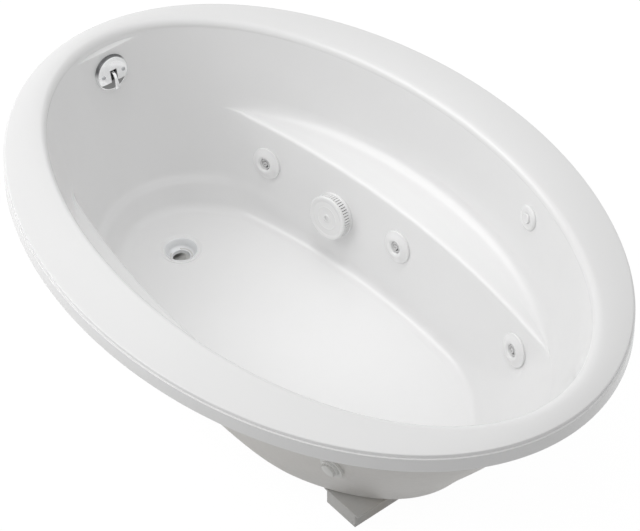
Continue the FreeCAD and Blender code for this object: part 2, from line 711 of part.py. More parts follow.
suction_top = "(suction_gasket + suction_flange_thickness)"
suction_back = "(-suction_length)"
suction = body_named("suction_body")
turn(suction, [
    ("suction_bore", suction_top),
    ("suction_flange_radius", suction_top),
    ("suction_flange_radius", "suction_gasket"),
    ("suction_hole - hole_clearance", "suction_gasket"),
    ("suction_hole - hole_clearance", "-(suction_pad_thickness + suction_nut_thickness + 2)"),
    ("suction_socket_radius", "-(suction_pad_thickness + suction_nut_thickness + 2)"),
    ("suction_socket_radius", suction_back),
    ("suction_pipe_radius + pin_clearance", suction_back),
    ("suction_pipe_radius + pin_clearance", f"{suction_back} + suction_socket_depth"),
    ("suction_bore", f"{suction_back} + suction_socket_depth"),
])
bar = outline(suction, [
    ("-(suction_bore + 2)", "-spider_width / 2"), ("suction_bore + 2", "-spider_width / 2"),
    ("suction_bore + 2", "spider_width / 2"), ("-(suction_bore + 2)", "spider_width / 2"),
], "XY_Plane", f"{suction_top} - spider_depth")
feature(suction, "Pad", bar, "spider_depth")
tapped = rings(suction, [("0", "0", "cover_screw + thread_clearance")], offset=suction_top)
feature(suction, "Pocket", tapped, "spider_depth")
suction.Placement = suction_frame

lock = body_named("suction_lock_nut")
turn(lock, [
    ("suction_hole - hole_clearance + thread_clearance", "-(suction_pad_thickness + suction_nut_thickness)"),
    ("suction_nut_radius", "-(suction_pad_thickness + suction_nut_thickness)"),
    ("suction_nut_radius", "-suction_pad_thickness"),
    ("suction_hole - hole_clearance + thread_clearance", "-suction_pad_thickness"),
])
notch = outline(lock, [
    ("suction_nut_radius - 4", "-4"), ("suction_nut_radius + 2", "-4"), ("suction_nut_radius + 2", "4"),
    ("suction_nut_radius - 4", "4"),
], "XY_Plane", "-suction_pad_thickness")
notch_cut = feature(lock, "Pocket", notch, "suction_nut_thickness")
repeat(lock, [notch_cut], "suction_nut_notches")
lock.Placement = suction_frame

cover = body_named("suction_cover")
cover_inside = "(cover_radius - cover_wall)"
cover_face = "(cover_height - cover_wall)"
turn(cover, [
    (cover_inside, "running_gap"),
    ("cover_radius", "running_gap"),
    ("cover_radius", "cover_height - 3"),
    ("cover_radius - 3", "cover_height"),
    ("cover_radius * 0.72", "cover_height"),
    ("cover_radius * 0.72", "cover_height - cover_ring_height"),
    ("cover_radius * 0.46 + cover_ring_width", "cover_height - cover_ring_height"),
    ("cover_radius * 0.46 + cover_ring_width", "cover_height - 0.3"),
    ("cover_radius * 0.46", "cover_height - 0.3"),
    ("cover_radius * 0.46", "cover_height - cover_ring_height"),
    ("cover_boss + 2", "cover_height - cover_ring_height"),
    ("cover_boss", "cover_height"),
    ("cover_screw_head + running_gap", "cover_height"),
    ("cover_screw_head + running_gap", "cover_height - 3.4"),
    ("cover_screw + running_gap", "cover_height - 3.4"),
    ("cover_screw + running_gap", f"{suction_top} + running_gap"),
    ("cover_boss", f"{suction_top} + running_gap"),
    ("cover_boss", cover_face + " - 2"),
    (cover_inside, cover_face + " - 2"),
])
slit = outline(cover, [
    (f"{cover_inside} - 4", "-cover_slot_width / 2"), ("cover_radius + 2", "-cover_slot_width / 2"),
    ("cover_radius + 2", "cover_slot_width / 2"), (f"{cover_inside} - 4", "cover_slot_width / 2"),
], "XY_Plane", "cover_slot_top")
slit_cut = feature(cover, "Pocket", slit, "cover_slot_top - cover_slot_bottom")
repeat(cover, [slit_cut], "cover_slots")
cover.Placement = suction_frame

screw = body_named("suction_screw")
turn(screw, [
    ("0", "cover_height - 0.6"),
    ("cover_screw_head", "cover_height - 0.6"),
    ("cover_screw_head", "cover_height - 3.4"),
    ("cover_screw", "cover_height - 3.4"),
    ("cover_screw", "suction_gasket + 1"),
    ("0", "suction_gasket + 1"),
])
blade = outline(screw, [
    ("-cover_screw_head - 1", "-0.6"), ("cover_screw_head + 1", "-0.6"), ("cover_screw_head + 1", "0.6"),
    ("-cover_screw_head - 1", "0.6"),
], "XY_Plane", "cover_height - 0.6")
feature(screw, "Pocket", blade, "1.2")
screw.Placement = suction_frame

# ---------------------------------------------------------------- air switch

switch = body_named("switch_body")
switch_barrel = "(switch_hole - hole_clearance)"
turn(switch, [
    ("switch_well", "switch_flange_thickness"),
    ("switch_flange_radius", "switch_flange_thickness"),
    ("switch_flange_radius", "0"),
    (switch_barrel, "0"),
    (switch_barrel, "-switch_length"),
    ("nipple_radius", "-switch_length"),
    ("nipple_radius", "-(switch_length + nipple_length)"),
    ("1", "-(switch_length + nipple_length)"),
    ("1", "-switch_floor"),
    ("switch_well", "-switch_floor"),
])
switch.Placement = switch_frame

switch_nut = body_named("switch_nut")
turn(switch_nut, [
    (f"{switch_barrel} + thread_clearance", "-(switch_pad_thickness + switch_nut_thickness)"),
    ("switch_nut_radius", "-(switch_pad_thickness + switch_nut_thickness)"),
    ("switch_nut_radius", "-switch_pad_thickness"),
    (f"{switch_barrel} + thread_clearance", "-switch_pad_thickness"),
])
switch_nut.Placement = switch_frame

bezel = body_named("switch_bezel")
turn(bezel, [
    ("switch_flange_radius + pin_clearance", "0"),
    ("bezel_radius", "0"),
    ("bezel_radius", "bezel_edge"),
    ("bezel_radius - 5", "bezel_height - 0.6"),
    ("button_radius + 3", "bezel_height"),
    ("button_radius + running_gap", "bezel_height - 1"),
    ("button_radius + running_gap", "switch_flange_thickness"),
    ("switch_flange_radius + pin_clearance", "switch_flange_thickness"),
])
bezel.Placement = switch_frame

button = body_named("switch_button")
turn(button, [
    ("0", "bezel_height + button_proud - 0.8"),
    ("button_radius - 4", "bezel_height + button_proud - 0.8"),
    ("button_radius - 2", "bezel_height + button_proud"),
    ("button_radius", "bezel_height + button_proud - 1.4"),
    ("button_radius", "switch_flange_thickness - 0.4"),
    ("button_collar", "switch_flange_thickness - 0.4"),
    ("button_collar", "-button_depth"),
    ("0", "-button_depth"),
])
button.Placement = switch_frame

# ---------------------------------------------------------------- drain

dish_floor = f"({FLOOR} - drain_dish_depth)"
cup_floor = f"({dish_floor} - drain_cup_depth)"
cup_outside = "(drain_cup_radius + drain_cup_wall)"
flange = body_named("drain_flange")
turn(flange, [
    ("drain_throat", f"{cup_floor} - drain_barrel_length"),
    ("drain_barrel", f"{cup_floor} - drain_barrel_length"),
    ("drain_barrel", f"{cup_floor} - drain_cup_wall"),
    (cup_outside, f"{cup_floor} - drain_cup_wall"),
    (cup_outside, dish_floor),
    ("drain_flange_radius", dish_floor),
    ("drain_flange_radius", f"{dish_floor} + drain_flange_thickness - 1.2"),
    ("drain_flange_radius - 2", f"{dish_floor} + drain_flange_thickness"),
    ("drain_cup_radius + 2", f"{dish_floor} + drain_flange_thickness"),
    ("drain_cup_radius", f"{dish_floor} + drain_flange_thickness - 2"),
    ("drain_cup_radius - 3", f"{cup_floor} + 3"),
    ("drain_cup_radius - 6", cup_floor),
    ("drain_throat", cup_floor),
])
bind(flange, "Placement.Base.x", "drain_x")

shoe_top = f"({ROOF} - drain_gasket)"
shoe_well = f"({cup_outside} + 2 * running_gap)"
shoe_shelf = f"({cup_floor} - drain_cup_wall - 1.5)"
shoe_bore = "(drain_barrel + thread_clearance)"
shoe = body_named("drain_shoe")
turn(shoe, [
    ("0", "shoe_bottom"),
    ("shoe_radius", "shoe_bottom"),
    ("shoe_radius", f"{shoe_shelf} - shoe_wall"),
    (f"{shoe_well} + shoe_wall", f"{shoe_shelf} - shoe_wall"),
    (f"{shoe_well} + shoe_wall", f"{shoe_top} - shoe_flange_thickness"),
    ("shoe_flange_radius", f"{shoe_top} - shoe_flange_thickness"),
    ("shoe_flange_radius", shoe_top),
    ("0", shoe_top),
])
arm = rings(shoe, [("0", "waste_height", "waste_pipe_radius + socket_wall")], "YZ_Plane")
feature(shoe, "Pad", arm, "shoe_arm_length", reverse=True)
turn(shoe, [
    (shoe_well, f"{shoe_top} + 1"),
    (shoe_well, shoe_shelf),
    (shoe_bore, shoe_shelf),
    (shoe_bore, f"{cup_floor} - drain_barrel_length - 1"),
    ("drain_throat", f"{cup_floor} - drain_barrel_length - 1"),
    ("drain_throat", "shoe_bottom + shoe_floor"),
    ("0", "shoe_bottom + shoe_floor"),
    ("0", f"{shoe_top} + 1"),
], "Groove")
way = rings(shoe, [("0", "waste_height", "waste_pipe_bore")], "YZ_Plane")
feature(shoe, "Pocket", way, "shoe_arm_length")
hub = rings(shoe, [("0", "waste_height", "waste_pipe_radius + pin_clearance")], "YZ_Plane",
            "-(shoe_arm_length - socket_depth)")
feature(shoe, "Pocket", hub, "socket_depth")
bind(shoe, "Placement.Base.x", "drain_x")

seals = []
seal = ring_solid(value("shoe_flange_radius - 0.5"), value(shoe_well), value(shoe_top), value(ROOF))
seal.translate(Vector(value("drain_x"), 0, 0))
seals.append(seal)
seal = ring_solid(value("suction_flange_radius - 0.5"), value("suction_hole"), 0, value("suction_gasket"))
seal.Placement = suction_frame
seals.append(seal)
gasket_face = -value("overflow_wall")
seal = ring_solid(
    value("elbow_flange_radius - 0.5"), value("elbow_bore + 8"), gasket_face - value("overflow_gasket"), gasket_face
)
seal.Placement = overflow_frame
seals.append(seal)
solid("fitting_gaskets", Part.makeCompound(seals))

# ---------------------------------------------------------------- waste pipes

pipe_radius = value("waste_pipe_radius")
pipe_bore = value("waste_pipe_bore")
hub_bore = value("waste_pipe_radius + pin_clearance")
hub_radius = value("waste_pipe_radius + socket_wall")
hub_depth = value("socket_depth")
seat = value("running_gap")
run = Vector(value("waste_x"), 0, value("waste_height"))
tee_arm = value("tee_arm")
tee_top = Vector(run.x, 0, value("tee_top"))
east, south, up = Vector(1, 0, 0), Vector(0, -1, 0), Vector(0, 0, 1)

tee_floor = run.z - hub_radius
tee = cylinder(hub_radius, Vector(run.x, 0, tee_floor), tee_top)
tee = tee.fuse([cylinder(hub_radius, run, run + way * tee_arm) for way in (east, south)])
hollow = [cylinder(pipe_bore, Vector(run.x, 0, tee_floor + value("socket_wall")), tee_top)]
hollow.append(cylinder(hub_bore, tee_top - up * hub_depth, tee_top))
for way in (east, south):
    hollow.append(cylinder(pipe_bore, run, run + way * tee_arm))
    hollow.append(cylinder(hub_bore, run + way * (tee_arm - hub_depth), run + way * tee_arm))
solid("waste_tee", tee.cut(hollow))


def tube(start, end):
    """A waste pipe between two points."""
    return cylinder(pipe_radius, start, end).cut(cylinder(pipe_bore, start, end))


shoe_mouth = Vector(value("drain_x - shoe_arm_length"), 0, run.z)
solid("drain_pipe", tube(shoe_mouth + east * (hub_depth - seat), run + east * (tee_arm - hub_depth + seat)))
outlet = Vector(run.x, value("outlet_end"), run.z)
shoulder = outlet - south * value("tailpiece_exposed")
neck = tube(run + south * (tee_arm - hub_depth + seat), shoulder)
neck = neck.common(cylinder(value("waste_pipe_radius - tailpiece_neck"), run, shoulder))
solid("tailpiece", neck.fuse(tube(shoulder, outlet)))

elbow_reach = (run.x - overflow_frame.Base.x) / math.cos(pad_slope)
elbow_middle = overflow_frame.multVec(Vector(0, 0, elbow_reach))
elbow_foot = Vector(run.x, 0, value(f"{RIM_EDGE} - overflow_depth - elbow_drop"))
solid("overflow_tube", tube(tee_top - up * (hub_depth - seat), elbow_foot + up * (hub_depth - seat)))

flange_face = gasket_face - value("overflow_gasket")
flange_back = flange_face - value("elbow_flange_thickness")
bore = value("elbow_bore")
elbow = local_cylinder(overflow_frame, value("elbow_flange_radius"), flange_back, flange_face)
elbow = elbow.fuse([
    local_cylinder(overflow_frame, bore + value("elbow_wall"), elbow_reach, flange_face),
    Part.makeSphere(bore + value("elbow_wall"), elbow_middle),
    cylinder(hub_radius, elbow_foot, elbow_middle),
])
hollow = [
    local_cylinder(overflow_frame, bore, elbow_reach, 10),
    Part.makeSphere(bore, elbow_middle),
    cylinder(pipe_bore, elbow_foot - up, elbow_middle),
    cylinder(hub_bore, elbow_foot - up, elbow_foot + up * hub_depth),
]
for side in (1, -1):
    tap = Part.makeCylinder(value("screw_radius + thread_clearance"), 20, Vector(0, 0, flange_back - 5))
    tap.translate(Vector(side * value("plate_screw_offset"), 0, 0))
    tap.Placement = overflow_frame.multiply(tap.Placement)
    hollow.append(tap)
solid("overflow_elbow", elbow.cut(hollow))

slip_nuts = []
for mouth_at, way in (
    (tee_top, up), (run + east * tee_arm, east), (run + south * tee_arm, south), (elbow_foot, up * -1),
    (shoe_mouth, east * -1),
):
    end = mouth_at + way * value("slip_nut_lip")
    start = end - way * value("slip_nut_length")
    nut = cylinder(value("slip_nut_radius"), start, end)
    nut = nut.cut([cylinder(hub_radius + value("thread_clearance"), start, mouth_at), cylinder(hub_bore, start, end)])
    slip_nuts.append(nut)
solid("slip_nuts", Part.makeCompound(slip_nuts))

# ---------------------------------------------------------------- overflow plate and trip lever


def turned(points):
    """An outline (radius, height) turned about the Z axis."""
    corners = [Vector(value(r), 0, value(z)) for r, z in points]
    return Part.Face(Part.makePolygon(corners + corners[:1])).revolve(Vector(0, 0, 0), Vector(0, 0, 1), 360)


def block(x, y, z):
    """A box between two values on each axis."""
    return Part.makeBox(x[1] - x[0], y[1] - y[0], z[1] - z[0], Vector(x[0], y[0], z[0]))


dome = "plate_dome"
shoulder = ("plate_radius * 0.86", f"{dome} * 0.62")
base = value("plate_base")
edge = value("plate_radius")
above = value(dome) + 1
pivot = value("lever_pivot_height")
gap = value("lever_width / 2 + running_gap")
lug = value("lug_thickness")
lug_radius = value("lug_radius")
plate = turned([
    ("0", "0"), ("plate_radius", "0"), ("plate_radius", "plate_base"), shoulder,
    ("plate_radius * 0.5", f"{dome} * 0.93"), ("0", dome),
])
cavity = turned([
    ("0", "plate_base"), ("plate_radius - plate_wall - 2", "plate_base"),
    ("plate_radius * 0.86 - plate_wall", f"{dome} * 0.62 - plate_wall + 0.4"),
    ("plate_radius * 0.5", f"{dome} * 0.93 - plate_wall"), ("0", f"{dome} - plate_wall"),
])
hood_edge = value("plate_hood_edge")
window = value("plate_window")
hood = block((-edge - 1, edge + 1), (-edge - 1, hood_edge), (base, above))
slot_half = value("plate_slot_width") / 2
for tool in (
    cavity, hood, Part.makeCylinder(window, base + 2, Vector(0, 0, -1)),
    block((-slot_half, slot_half), (hood_edge - 1, 9), (base + 0.5, above)),
):
    plate = plate.cut(tool)
for side in (1, -1):
    inner, outer = sorted((side * gap, side * (gap + lug)))
    plate = plate.fuse([
        block((inner, outer), (-lug_radius, lug_radius), (0, pivot)),
        Part.makeCylinder(lug_radius, lug, Vector(inner, 0, pivot), Vector(1, 0, 0)),
        block(sorted((side * gap, side * (window + 1))), (-lug_radius, lug_radius), (0, base)),
    ])
    spot = Vector(side * value("plate_screw_offset"), 0, -1)
    plate = plate.cut(Part.makeCylinder(value("screw_radius + running_gap"), above + 2, spot))
pin_end = gap + lug
hinge = Part.makeCylinder(value("hinge_pin"), 2 * pin_end, Vector(-pin_end, 0, pivot), Vector(1, 0, 0))
solid("overflow_plate", plate.fuse(hinge), overflow_frame)

screws = []
seat_height = value(f"{dome} * 0.935")
for side in (1, -1):
    spot = Vector(side * value("plate_screw_offset"), 0, 0)
    head = value("screw_head")
    screw = Part.makeCylinder(head, value("screw_head_height"), spot + Vector(0, 0, seat_height))
    screw = screw.fuse(Part.makeCylinder(
        value("screw_radius"), seat_height - flange_back, spot + Vector(0, 0, flange_back)
    ))
    top = seat_height + value("screw_head_height")
    screw = screw.cut(block((spot.x - head, spot.x + head), (-0.7, 0.7), (top - 1, top + 1)))
    screw.Placement = overflow_frame
    screws.append(screw)
solid("overflow_screws", Part.makeCompound(screws))

pivot_at = overflow_frame.multVec(Vector(0, 0, pivot))
rise = math.radians(value("lever_rise_angle"))
arm_length = value("lever_arm")
arm_end = pivot_at + Vector(-arm_length * math.cos(rise), 0, arm_length * math.sin(rise))
width = value("lever_width")
thick = value("lever_thickness")
reach = value("lever_reach")
drop = value("lever_drop")
profile = [
    (3.4, 0), (2, 3.4), (-3, reach), (-drop, reach + 3), (-drop - 1.5, reach + 1.4), (-drop, reach + 3 - thick),
    (-6, reach - thick), (-3.4, 1),
]
corners = [Vector(-width / 2, v, pivot + w) for v, w in profile]
handle = Part.Face(Part.makePolygon(corners + corners[:1])).extrude(Vector(width, 0, 0))
handle.Placement = overflow_frame
across = Vector(0, 1, 0)
barrel = cylinder(value("lever_barrel"), pivot_at - across * width / 2, pivot_at + across * width / 2)
lever = handle.fuse([
    barrel,
    cylinder(value("lever_arm_radius"), pivot_at, arm_end),
    Part.makeSphere(value("lever_arm_radius"), arm_end),
    cylinder(value("drive_pin"), arm_end, arm_end + across * value("rod_offset + fork_thickness")),
])
lever = lever.cut(cylinder(value("hinge_pin + pin_clearance"), pivot_at - across * width, pivot_at + across * width))
solid("trip_lever", lever)

low_angle = math.radians(value("lever_travel_angle - lever_rise_angle"))
swing = arm_length * (1 - math.cos(low_angle))
slot_radius = value("drive_pin + fork_play")
fork_x = (pivot_at.x - arm_length + pivot_at.x - arm_length + swing) / 2
fork_half = value("fork_length") / 2
offset = value("rod_offset")
fork_thick = value("fork_thickness")
fork_high = value("fork_height") / 2
fork_y = (offset - fork_thick / 2, offset + fork_thick / 2)
plunger_top = value("plunger_rest + plunger_length")
fork = block((fork_x - fork_half, fork_x + fork_half), fork_y, (arm_end.z - fork_high, arm_end.z + fork_high))
slot_half = swing / 2 + 0.6
slot = block((fork_x - slot_half, fork_x + slot_half), fork_y, (arm_end.z - slot_radius, arm_end.z + slot_radius))
fork = fork.cut(slot)
for side in (1, -1):
    centre = Vector(fork_x + side * slot_half, fork_y[0], arm_end.z)
    fork = fork.cut(Part.makeCylinder(slot_radius, fork_thick, centre, across))
rod_at = Vector(run.x, offset, plunger_top - 10)
rod = cylinder(value("rod_radius"), rod_at, Vector(run.x, offset, arm_end.z - fork_high + 1))
solid("linkage_rod", rod.fuse(fork))

plunger = Part.makeCylinder(value("plunger_radius"), value("plunger_length"), Vector(run.x, 0, value("plunger_rest")))
plunger = plunger.makeChamfer(2, [e for e in plunger.Edges if isinstance(e.Curve, Part.Circle)])
solid("drain_plunger", plunger.cut(cylinder(value("rod_radius + pin_clearance"), rod_at, rod_at + up * 20)))

# ---------------------------------------------------------------- pump

pump_frame = Placement(
    Vector(value("pump_x"), value("pump_y"), value("pump_height")),
    Rotation(Vector(0, 1, 0), Vector(0, 0, 1), Vector(1, 0, 0), "ZYX"),
)
volute = body_named("pump_volute")
volute_inside = "(volute_radius - volute_wall)"
turn(volute, [
    ("pump_inlet_bore", "-(volute_front + pump_inlet_length)"),
    ("pump_inlet_radius", "-(volute_front + pump_inlet_length)"),
    ("pump_inlet_radius", "-volute_front"),
    ("volute_radius - 4", "-volute_front"),
    ("volute_radius", "-volute_front + 4"),
    ("volute_radius", "volute_back"),
    (volute_inside, "volute_back"),
    (volute_inside, "-volute_front + volute_wall"),
    ("pump_inlet_bore", "-volute_front + volute_wall"),
])
stub = rings(volute, [("0", "0", "pump_outlet_radius")], "XZ_Plane", f"-{volute_inside}")
feature(volute, "Pad", stub, f"pump_outlet_height - {volute_inside}", reverse=True)
drill = rings(volute, [("0", "0", "pump_outlet_bore")], "XZ_Plane")
feature(volute, "Pocket", drill, "pump_outlet_height")
volute.Placement = pump_frame

plate_back = "(volute_back + back_plate_thickness)"
back_plate = body_named("pump_back_plate")
turn(back_plate, [
    ("shaft_radius + running_gap", "volute_back"),
    ("volute_radius", "volute_back"),
    ("volute_radius", plate_back + " - 3"),
    ("motor_radius", plate_back),
    ("shaft_radius + running_gap", plate_back),
])
back_plate.Placement = pump_frame

disc = "(impeller_disc_height + impeller_disc)"
impeller = body_named("pump_impeller")
turn(impeller, [
    ("shaft_radius + pin_clearance", "impeller_disc_height - impeller_vane_height"),
    ("impeller_hub - 3", "impeller_disc_height - impeller_vane_height"),
    ("impeller_hub", "impeller_disc_height"),
    ("impeller_radius", "impeller_disc_height"),
    ("impeller_radius", disc),
    ("impeller_hub", disc),
    ("impeller_hub", disc + " + 8"),
    ("shaft_radius + pin_clearance", disc + " + 8"),
])
vane = outline(impeller, [
    ("impeller_hub - 3.5", "-impeller_vane_thickness / 2"), ("impeller_radius", "6"),
    ("impeller_radius - 1", "6 + impeller_vane_thickness"), ("impeller_hub - 3.5", "impeller_vane_thickness / 2"),
], "XY_Plane", "impeller_disc_height - impeller_vane_height + 4")
vane_pad = feature(impeller, "Pad", vane, "impeller_vane_height - 4")
repeat(impeller, [vane_pad], "impeller_vanes")
impeller.Placement = pump_frame

motor_end = f"({plate_back} + motor_length)"
fan_back = f"({motor_end} + fan_gap + fan_width)"
shaft = body_named("motor_shaft")
turn(shaft, [
    ("0", "impeller_disc_height - impeller_vane_height"),
    ("shaft_radius", "impeller_disc_height - impeller_vane_height"),
    ("shaft_radius", fan_back),
    ("shaft_radius - 1", fan_back + " + 1"),
    ("0", fan_back + " + 1"),
])
shaft.Placement = pump_frame

motor = body_named("motor_housing")
turn(motor, [
    ("motor_bore", plate_back),
    ("motor_radius", plate_back),
    ("motor_radius", motor_end),
    ("motor_bore", motor_end),
])
fin = outline(motor, [
    ("motor_radius - 2", "-motor_fin_thickness / 2"),
    ("motor_radius + motor_fin_height", "-motor_fin_thickness / 2"),
    ("motor_radius + motor_fin_height", "motor_fin_thickness / 2"),
    ("motor_radius - 2", "motor_fin_thickness / 2"),
], "XY_Plane", f"{plate_back} + motor_fin_margin")
fin_pad = feature(motor, "Pad", fin, "motor_length - 2 * motor_fin_margin")
repeat(motor, [fin_pad], "motor_fins")
box = outline(motor, [
    ("-control_box_width / 2", "motor_radius - 6"), ("control_box_width / 2", "motor_radius - 6"),
    ("control_box_width / 2", "motor_radius + control_box_height"),
    ("-control_box_width / 2", "motor_radius + control_box_height"),
], "XY_Plane", f"{plate_back} + control_box_start")
feature(motor, "Pad", box, "control_box_length")
motor.Placement = pump_frame

fan = body_named("motor_fan")
turn(fan, [
    ("shaft_radius + pin_clearance", f"{motor_end} + fan_gap"),
    ("fan_hub", f"{motor_end} + fan_gap"),
    ("fan_hub", fan_back),
    ("shaft_radius + pin_clearance", fan_back),
])
blade = outline(fan, [
    ("fan_hub - 1.5", "-fan_blade_thickness / 2"), ("fan_radius", "-fan_blade_thickness / 2"),
    ("fan_radius", "fan_blade_thickness / 2"), ("fan_hub - 1.5", "fan_blade_thickness / 2"),
], "XY_Plane", f"{motor_end} + fan_gap")
blade_pad = feature(fan, "Pad", blade, "fan_width")
repeat(fan, [blade_pad], "fan_blades")
fan.Placement = pump_frame

cowl = body_named("fan_cover")
turn(cowl, [
    ("motor_radius - fan_cover_wall", motor_end),
    ("motor_radius", motor_end),
    ("motor_radius", f"{motor_end} + fan_cover_length - 4"),
    ("motor_radius - 4", f"{motor_end} + fan_cover_length"),
    ("0", f"{motor_end} + fan_cover_length"),
    ("0", f"{motor_end} + fan_cover_length - fan_cover_wall"),
    ("motor_radius - fan_cover_wall", f"{motor_end} + fan_cover_length - fan_cover_wall"),
])
grille = outline(cowl, [
    ("fan_slot_inner", "-fan_slot_width / 2"), ("fan_slot_outer", "-fan_slot_width / 2"),
    ("fan_slot_outer", "fan_slot_width / 2"), ("fan_slot_inner", "fan_slot_width / 2"),
], "XY_Plane", f"{motor_end} + fan_cover_length")
grille_cut = feature(cowl, "Pocket", grille, "fan_cover_wall + 1")
repeat(cowl, [grille_cut], "fan_slots")
cowl.Placement = pump_frame

pump_at = pump_frame.Base
motor_from = pump_at.x + value(plate_back)
motor_to = pump_at.x + value(motor_end)
cradle_thick = value("bracket_thickness")
half_bracket = value("bracket_width") / 2
bracket_margin = value("bracket_margin")
bracket = block(
    (motor_from - bracket_margin, motor_to + bracket_margin),
    (pump_at.y - half_bracket, pump_at.y + half_bracket), (0, cradle_thick),
)
half_saddle = value("saddle_width") / 2
saddle_thick = value("saddle_thickness")
for near_end in (motor_from + 2 * bracket_margin, motor_to - 2 * bracket_margin - saddle_thick):
    bracket = bracket.fuse(block(
        (near_end, near_end + saddle_thick), (pump_at.y - half_saddle, pump_at.y + half_saddle),
        (cradle_thick, value("saddle_top")),
    ))
bed = value("motor_radius + motor_fin_height")
bracket = bracket.cut(cylinder(bed, Vector(motor_from, pump_at.y, pump_at.z), Vector(motor_to, pump_at.y, pump_at.z)))
middle = (motor_from + motor_to) / 2
for x in (-1, 1):
    for y in (-1, 1):
        spot = Vector(middle + x * value("bracket_hole_x"), pump_at.y + y * value("bracket_hole_y"), -1)
        bracket = bracket.cut(Part.makeCylinder(value("bracket_foot_hole"), cradle_thick + 2, spot))
solid("pump_bracket", bracket)

# ---------------------------------------------------------------- piping


def along(frame, distance):
    """A point on a frame's Z axis."""
    return frame.multVec(Vector(0, 0, distance))


inlet_end = pump_at - Vector(value("volute_front + pump_inlet_length"), 0, 0)
socket_bottom = value("suction_length - suction_socket_depth")
pipe_start = along(suction_frame, -(socket_bottom + seat))
behind = suction_frame.Rotation.multVec(Vector(0, 0, -1))
turning = suction_frame.Base + behind * ((pump_at.y - suction_frame.Base.y) / behind.y)
route = [pipe_start, turning, Vector(turning.x, pump_at.y, pump_at.z), inlet_end]
bend = value("suction_pipe_bend")
suction_run = pipe(route, value("suction_pipe_radius"), bend)
lip = value("union_lip")
suction_run = suction_run.fuse(cylinder(value("pump_inlet_radius"), inlet_end - east * lip, inlet_end))
ends = [route[0] - behind * 1] + route[1:-1] + [inlet_end + east]
solid("suction_pipe", suction_run.cut(pipe(ends, value("suction_pipe_bore"), bend)))


def header(radius, aside, height, bend):
    """A pipe that follows the bowl from the backrest end's jets round the drain end and back."""
    arc_radius = value("manifold_arc") + aside
    crown = value("manifold_y") + aside

    def on_arc(x, side):
        return Vector(x, side * (crown - arc_radius + math.sqrt(arc_radius ** 2 - x * x)), height)

    start, end = value("manifold_start"), value("manifold_end")
    runs = []
    corners = []
    for side in (1, -1):
        arc = Part.Arc(on_arc(start, side), on_arc((start + end) / 2, side), on_arc(end, side)).toShape()
        away = arc.tangentAt(arc.LastParameter)
        if away.x > 0:
            away = away * -1
        corners.append([on_arc(end, side), on_arc(end, side) + away * value("manifold_run")])
        corners[-1].append(Vector(value("manifold_drain_x"), side * value("manifold_drain_y"), height))
        runs.append(arc)
    middle_run = rounded_run(corners[0] + corners[1][::-1], bend)
    path = Part.Wire(Part.__sortEdges__([runs[0]] + middle_run.Edges + [runs[1]]))
    first = on_arc(start, 1)
    facing = runs[0].tangentAt(runs[0].FirstParameter)
    section = Part.Wire([Part.makeCircle(radius, first, facing)])
    return path.makePipeShell([section], True, False), on_arc


water_level = value("manifold_height")
manifold, water_at = header(value("manifold_radius"), 0, water_level, value("manifold_bend"))
port = value("jet_port_height")
port_level = value(port_middle)
socket = value("branch_socket")
for frame in jet_frames:
    port_up = frame.Rotation.multVec(Vector(0, 1, 0))
    port_end = frame.multVec(Vector(0, port, port_level))
    top = port_end + port_up * ((water_level - port_end.z) / port_up.z)
    branch = cylinder(value("branch_radius"), port_end - port_up * socket, top)
    inner = cylinder(value("jet_port_radius + pin_clearance"), port_end - port_up * socket, port_end)
    manifold = manifold.fuse(branch).cut(inner)
outlet_top = pump_at + Vector(0, 0, value("pump_outlet_height"))
discharge = [outlet_top, Vector(pump_at.x, pump_at.y, water_level), water_at(pump_at.x, 1)]
manifold = manifold.fuse([
    pipe(discharge, value("discharge_radius"), value("discharge_bend")),
    cylinder(value("pump_outlet_radius"), outlet_top, outlet_top + up * lip),
])
solid("water_manifold", manifold)

wide = value("union_width")
wall = value("union_wall")
unions = []
for face, way, stub_radius, tail in (
    (inlet_end, east * -1, value("pump_inlet_radius"), value("suction_pipe_radius")),
    (outlet_top, up, value("pump_outlet_radius"), value("discharge_radius")),
):
    low, high = face - way * (wide - 2 * lip), face + way * 2 * lip
    nut = cylinder(stub_radius + wall, low, high)
    bored = [cylinder(stub_radius + value("thread_clearance"), low, face + way * lip)]
    bored.append(cylinder(tail + value("running_gap"), low, high))
    unions.append(nut.cut(bored))
solid("union_nuts", Part.makeCompound(unions))

air_level = value("air_pipe_height")
air, air_at = header(value("air_pipe_radius"), value("air_pipe_offset"), air_level, value("manifold_bend"))
for frame in jet_frames:
    back = along(frame, value(chamber_end))
    outward = frame.Rotation.multVec(Vector(0, 0, -1))
    goal = abs(air_at(back.x, 1).y)
    knee = back + outward * ((goal - abs(back.y)) / abs(outward.y))
    route = [back, knee, Vector(knee.x, knee.y, air_level)]
    air = air.fuse(pipe(route, value("air_branch_radius"), value("air_branch_bend")))
intake_x, intake_y = value("air_intake_x"), value("air_intake_y")
intake_top = value("air_intake_top")
route = [air_at(intake_x, 1), Vector(intake_x, intake_y, air_level), Vector(intake_x, intake_y, intake_top)]
cap_top = Vector(intake_x, intake_y, intake_top + value("air_cap_height"))
cap = cylinder(value("air_cap_radius"), route[-1], cap_top)
for k in range(int(value("air_cap_slots"))):
    vent = block((value("air_cap_radius") - 3, value("air_cap_radius") + 1), (-2, 2), (8, value("air_cap_height") - 8))
    vent.rotate(Vector(0, 0, 0), Vector(0, 0, 1), 360 * k / value("air_cap_slots"))
    vent.translate(route[-1])
    cap = cap.cut(vent)
air = air.fuse([pipe(route, value("air_pipe_radius"), value("air_intake_bend")), cap])
solid("air_manifold", air)

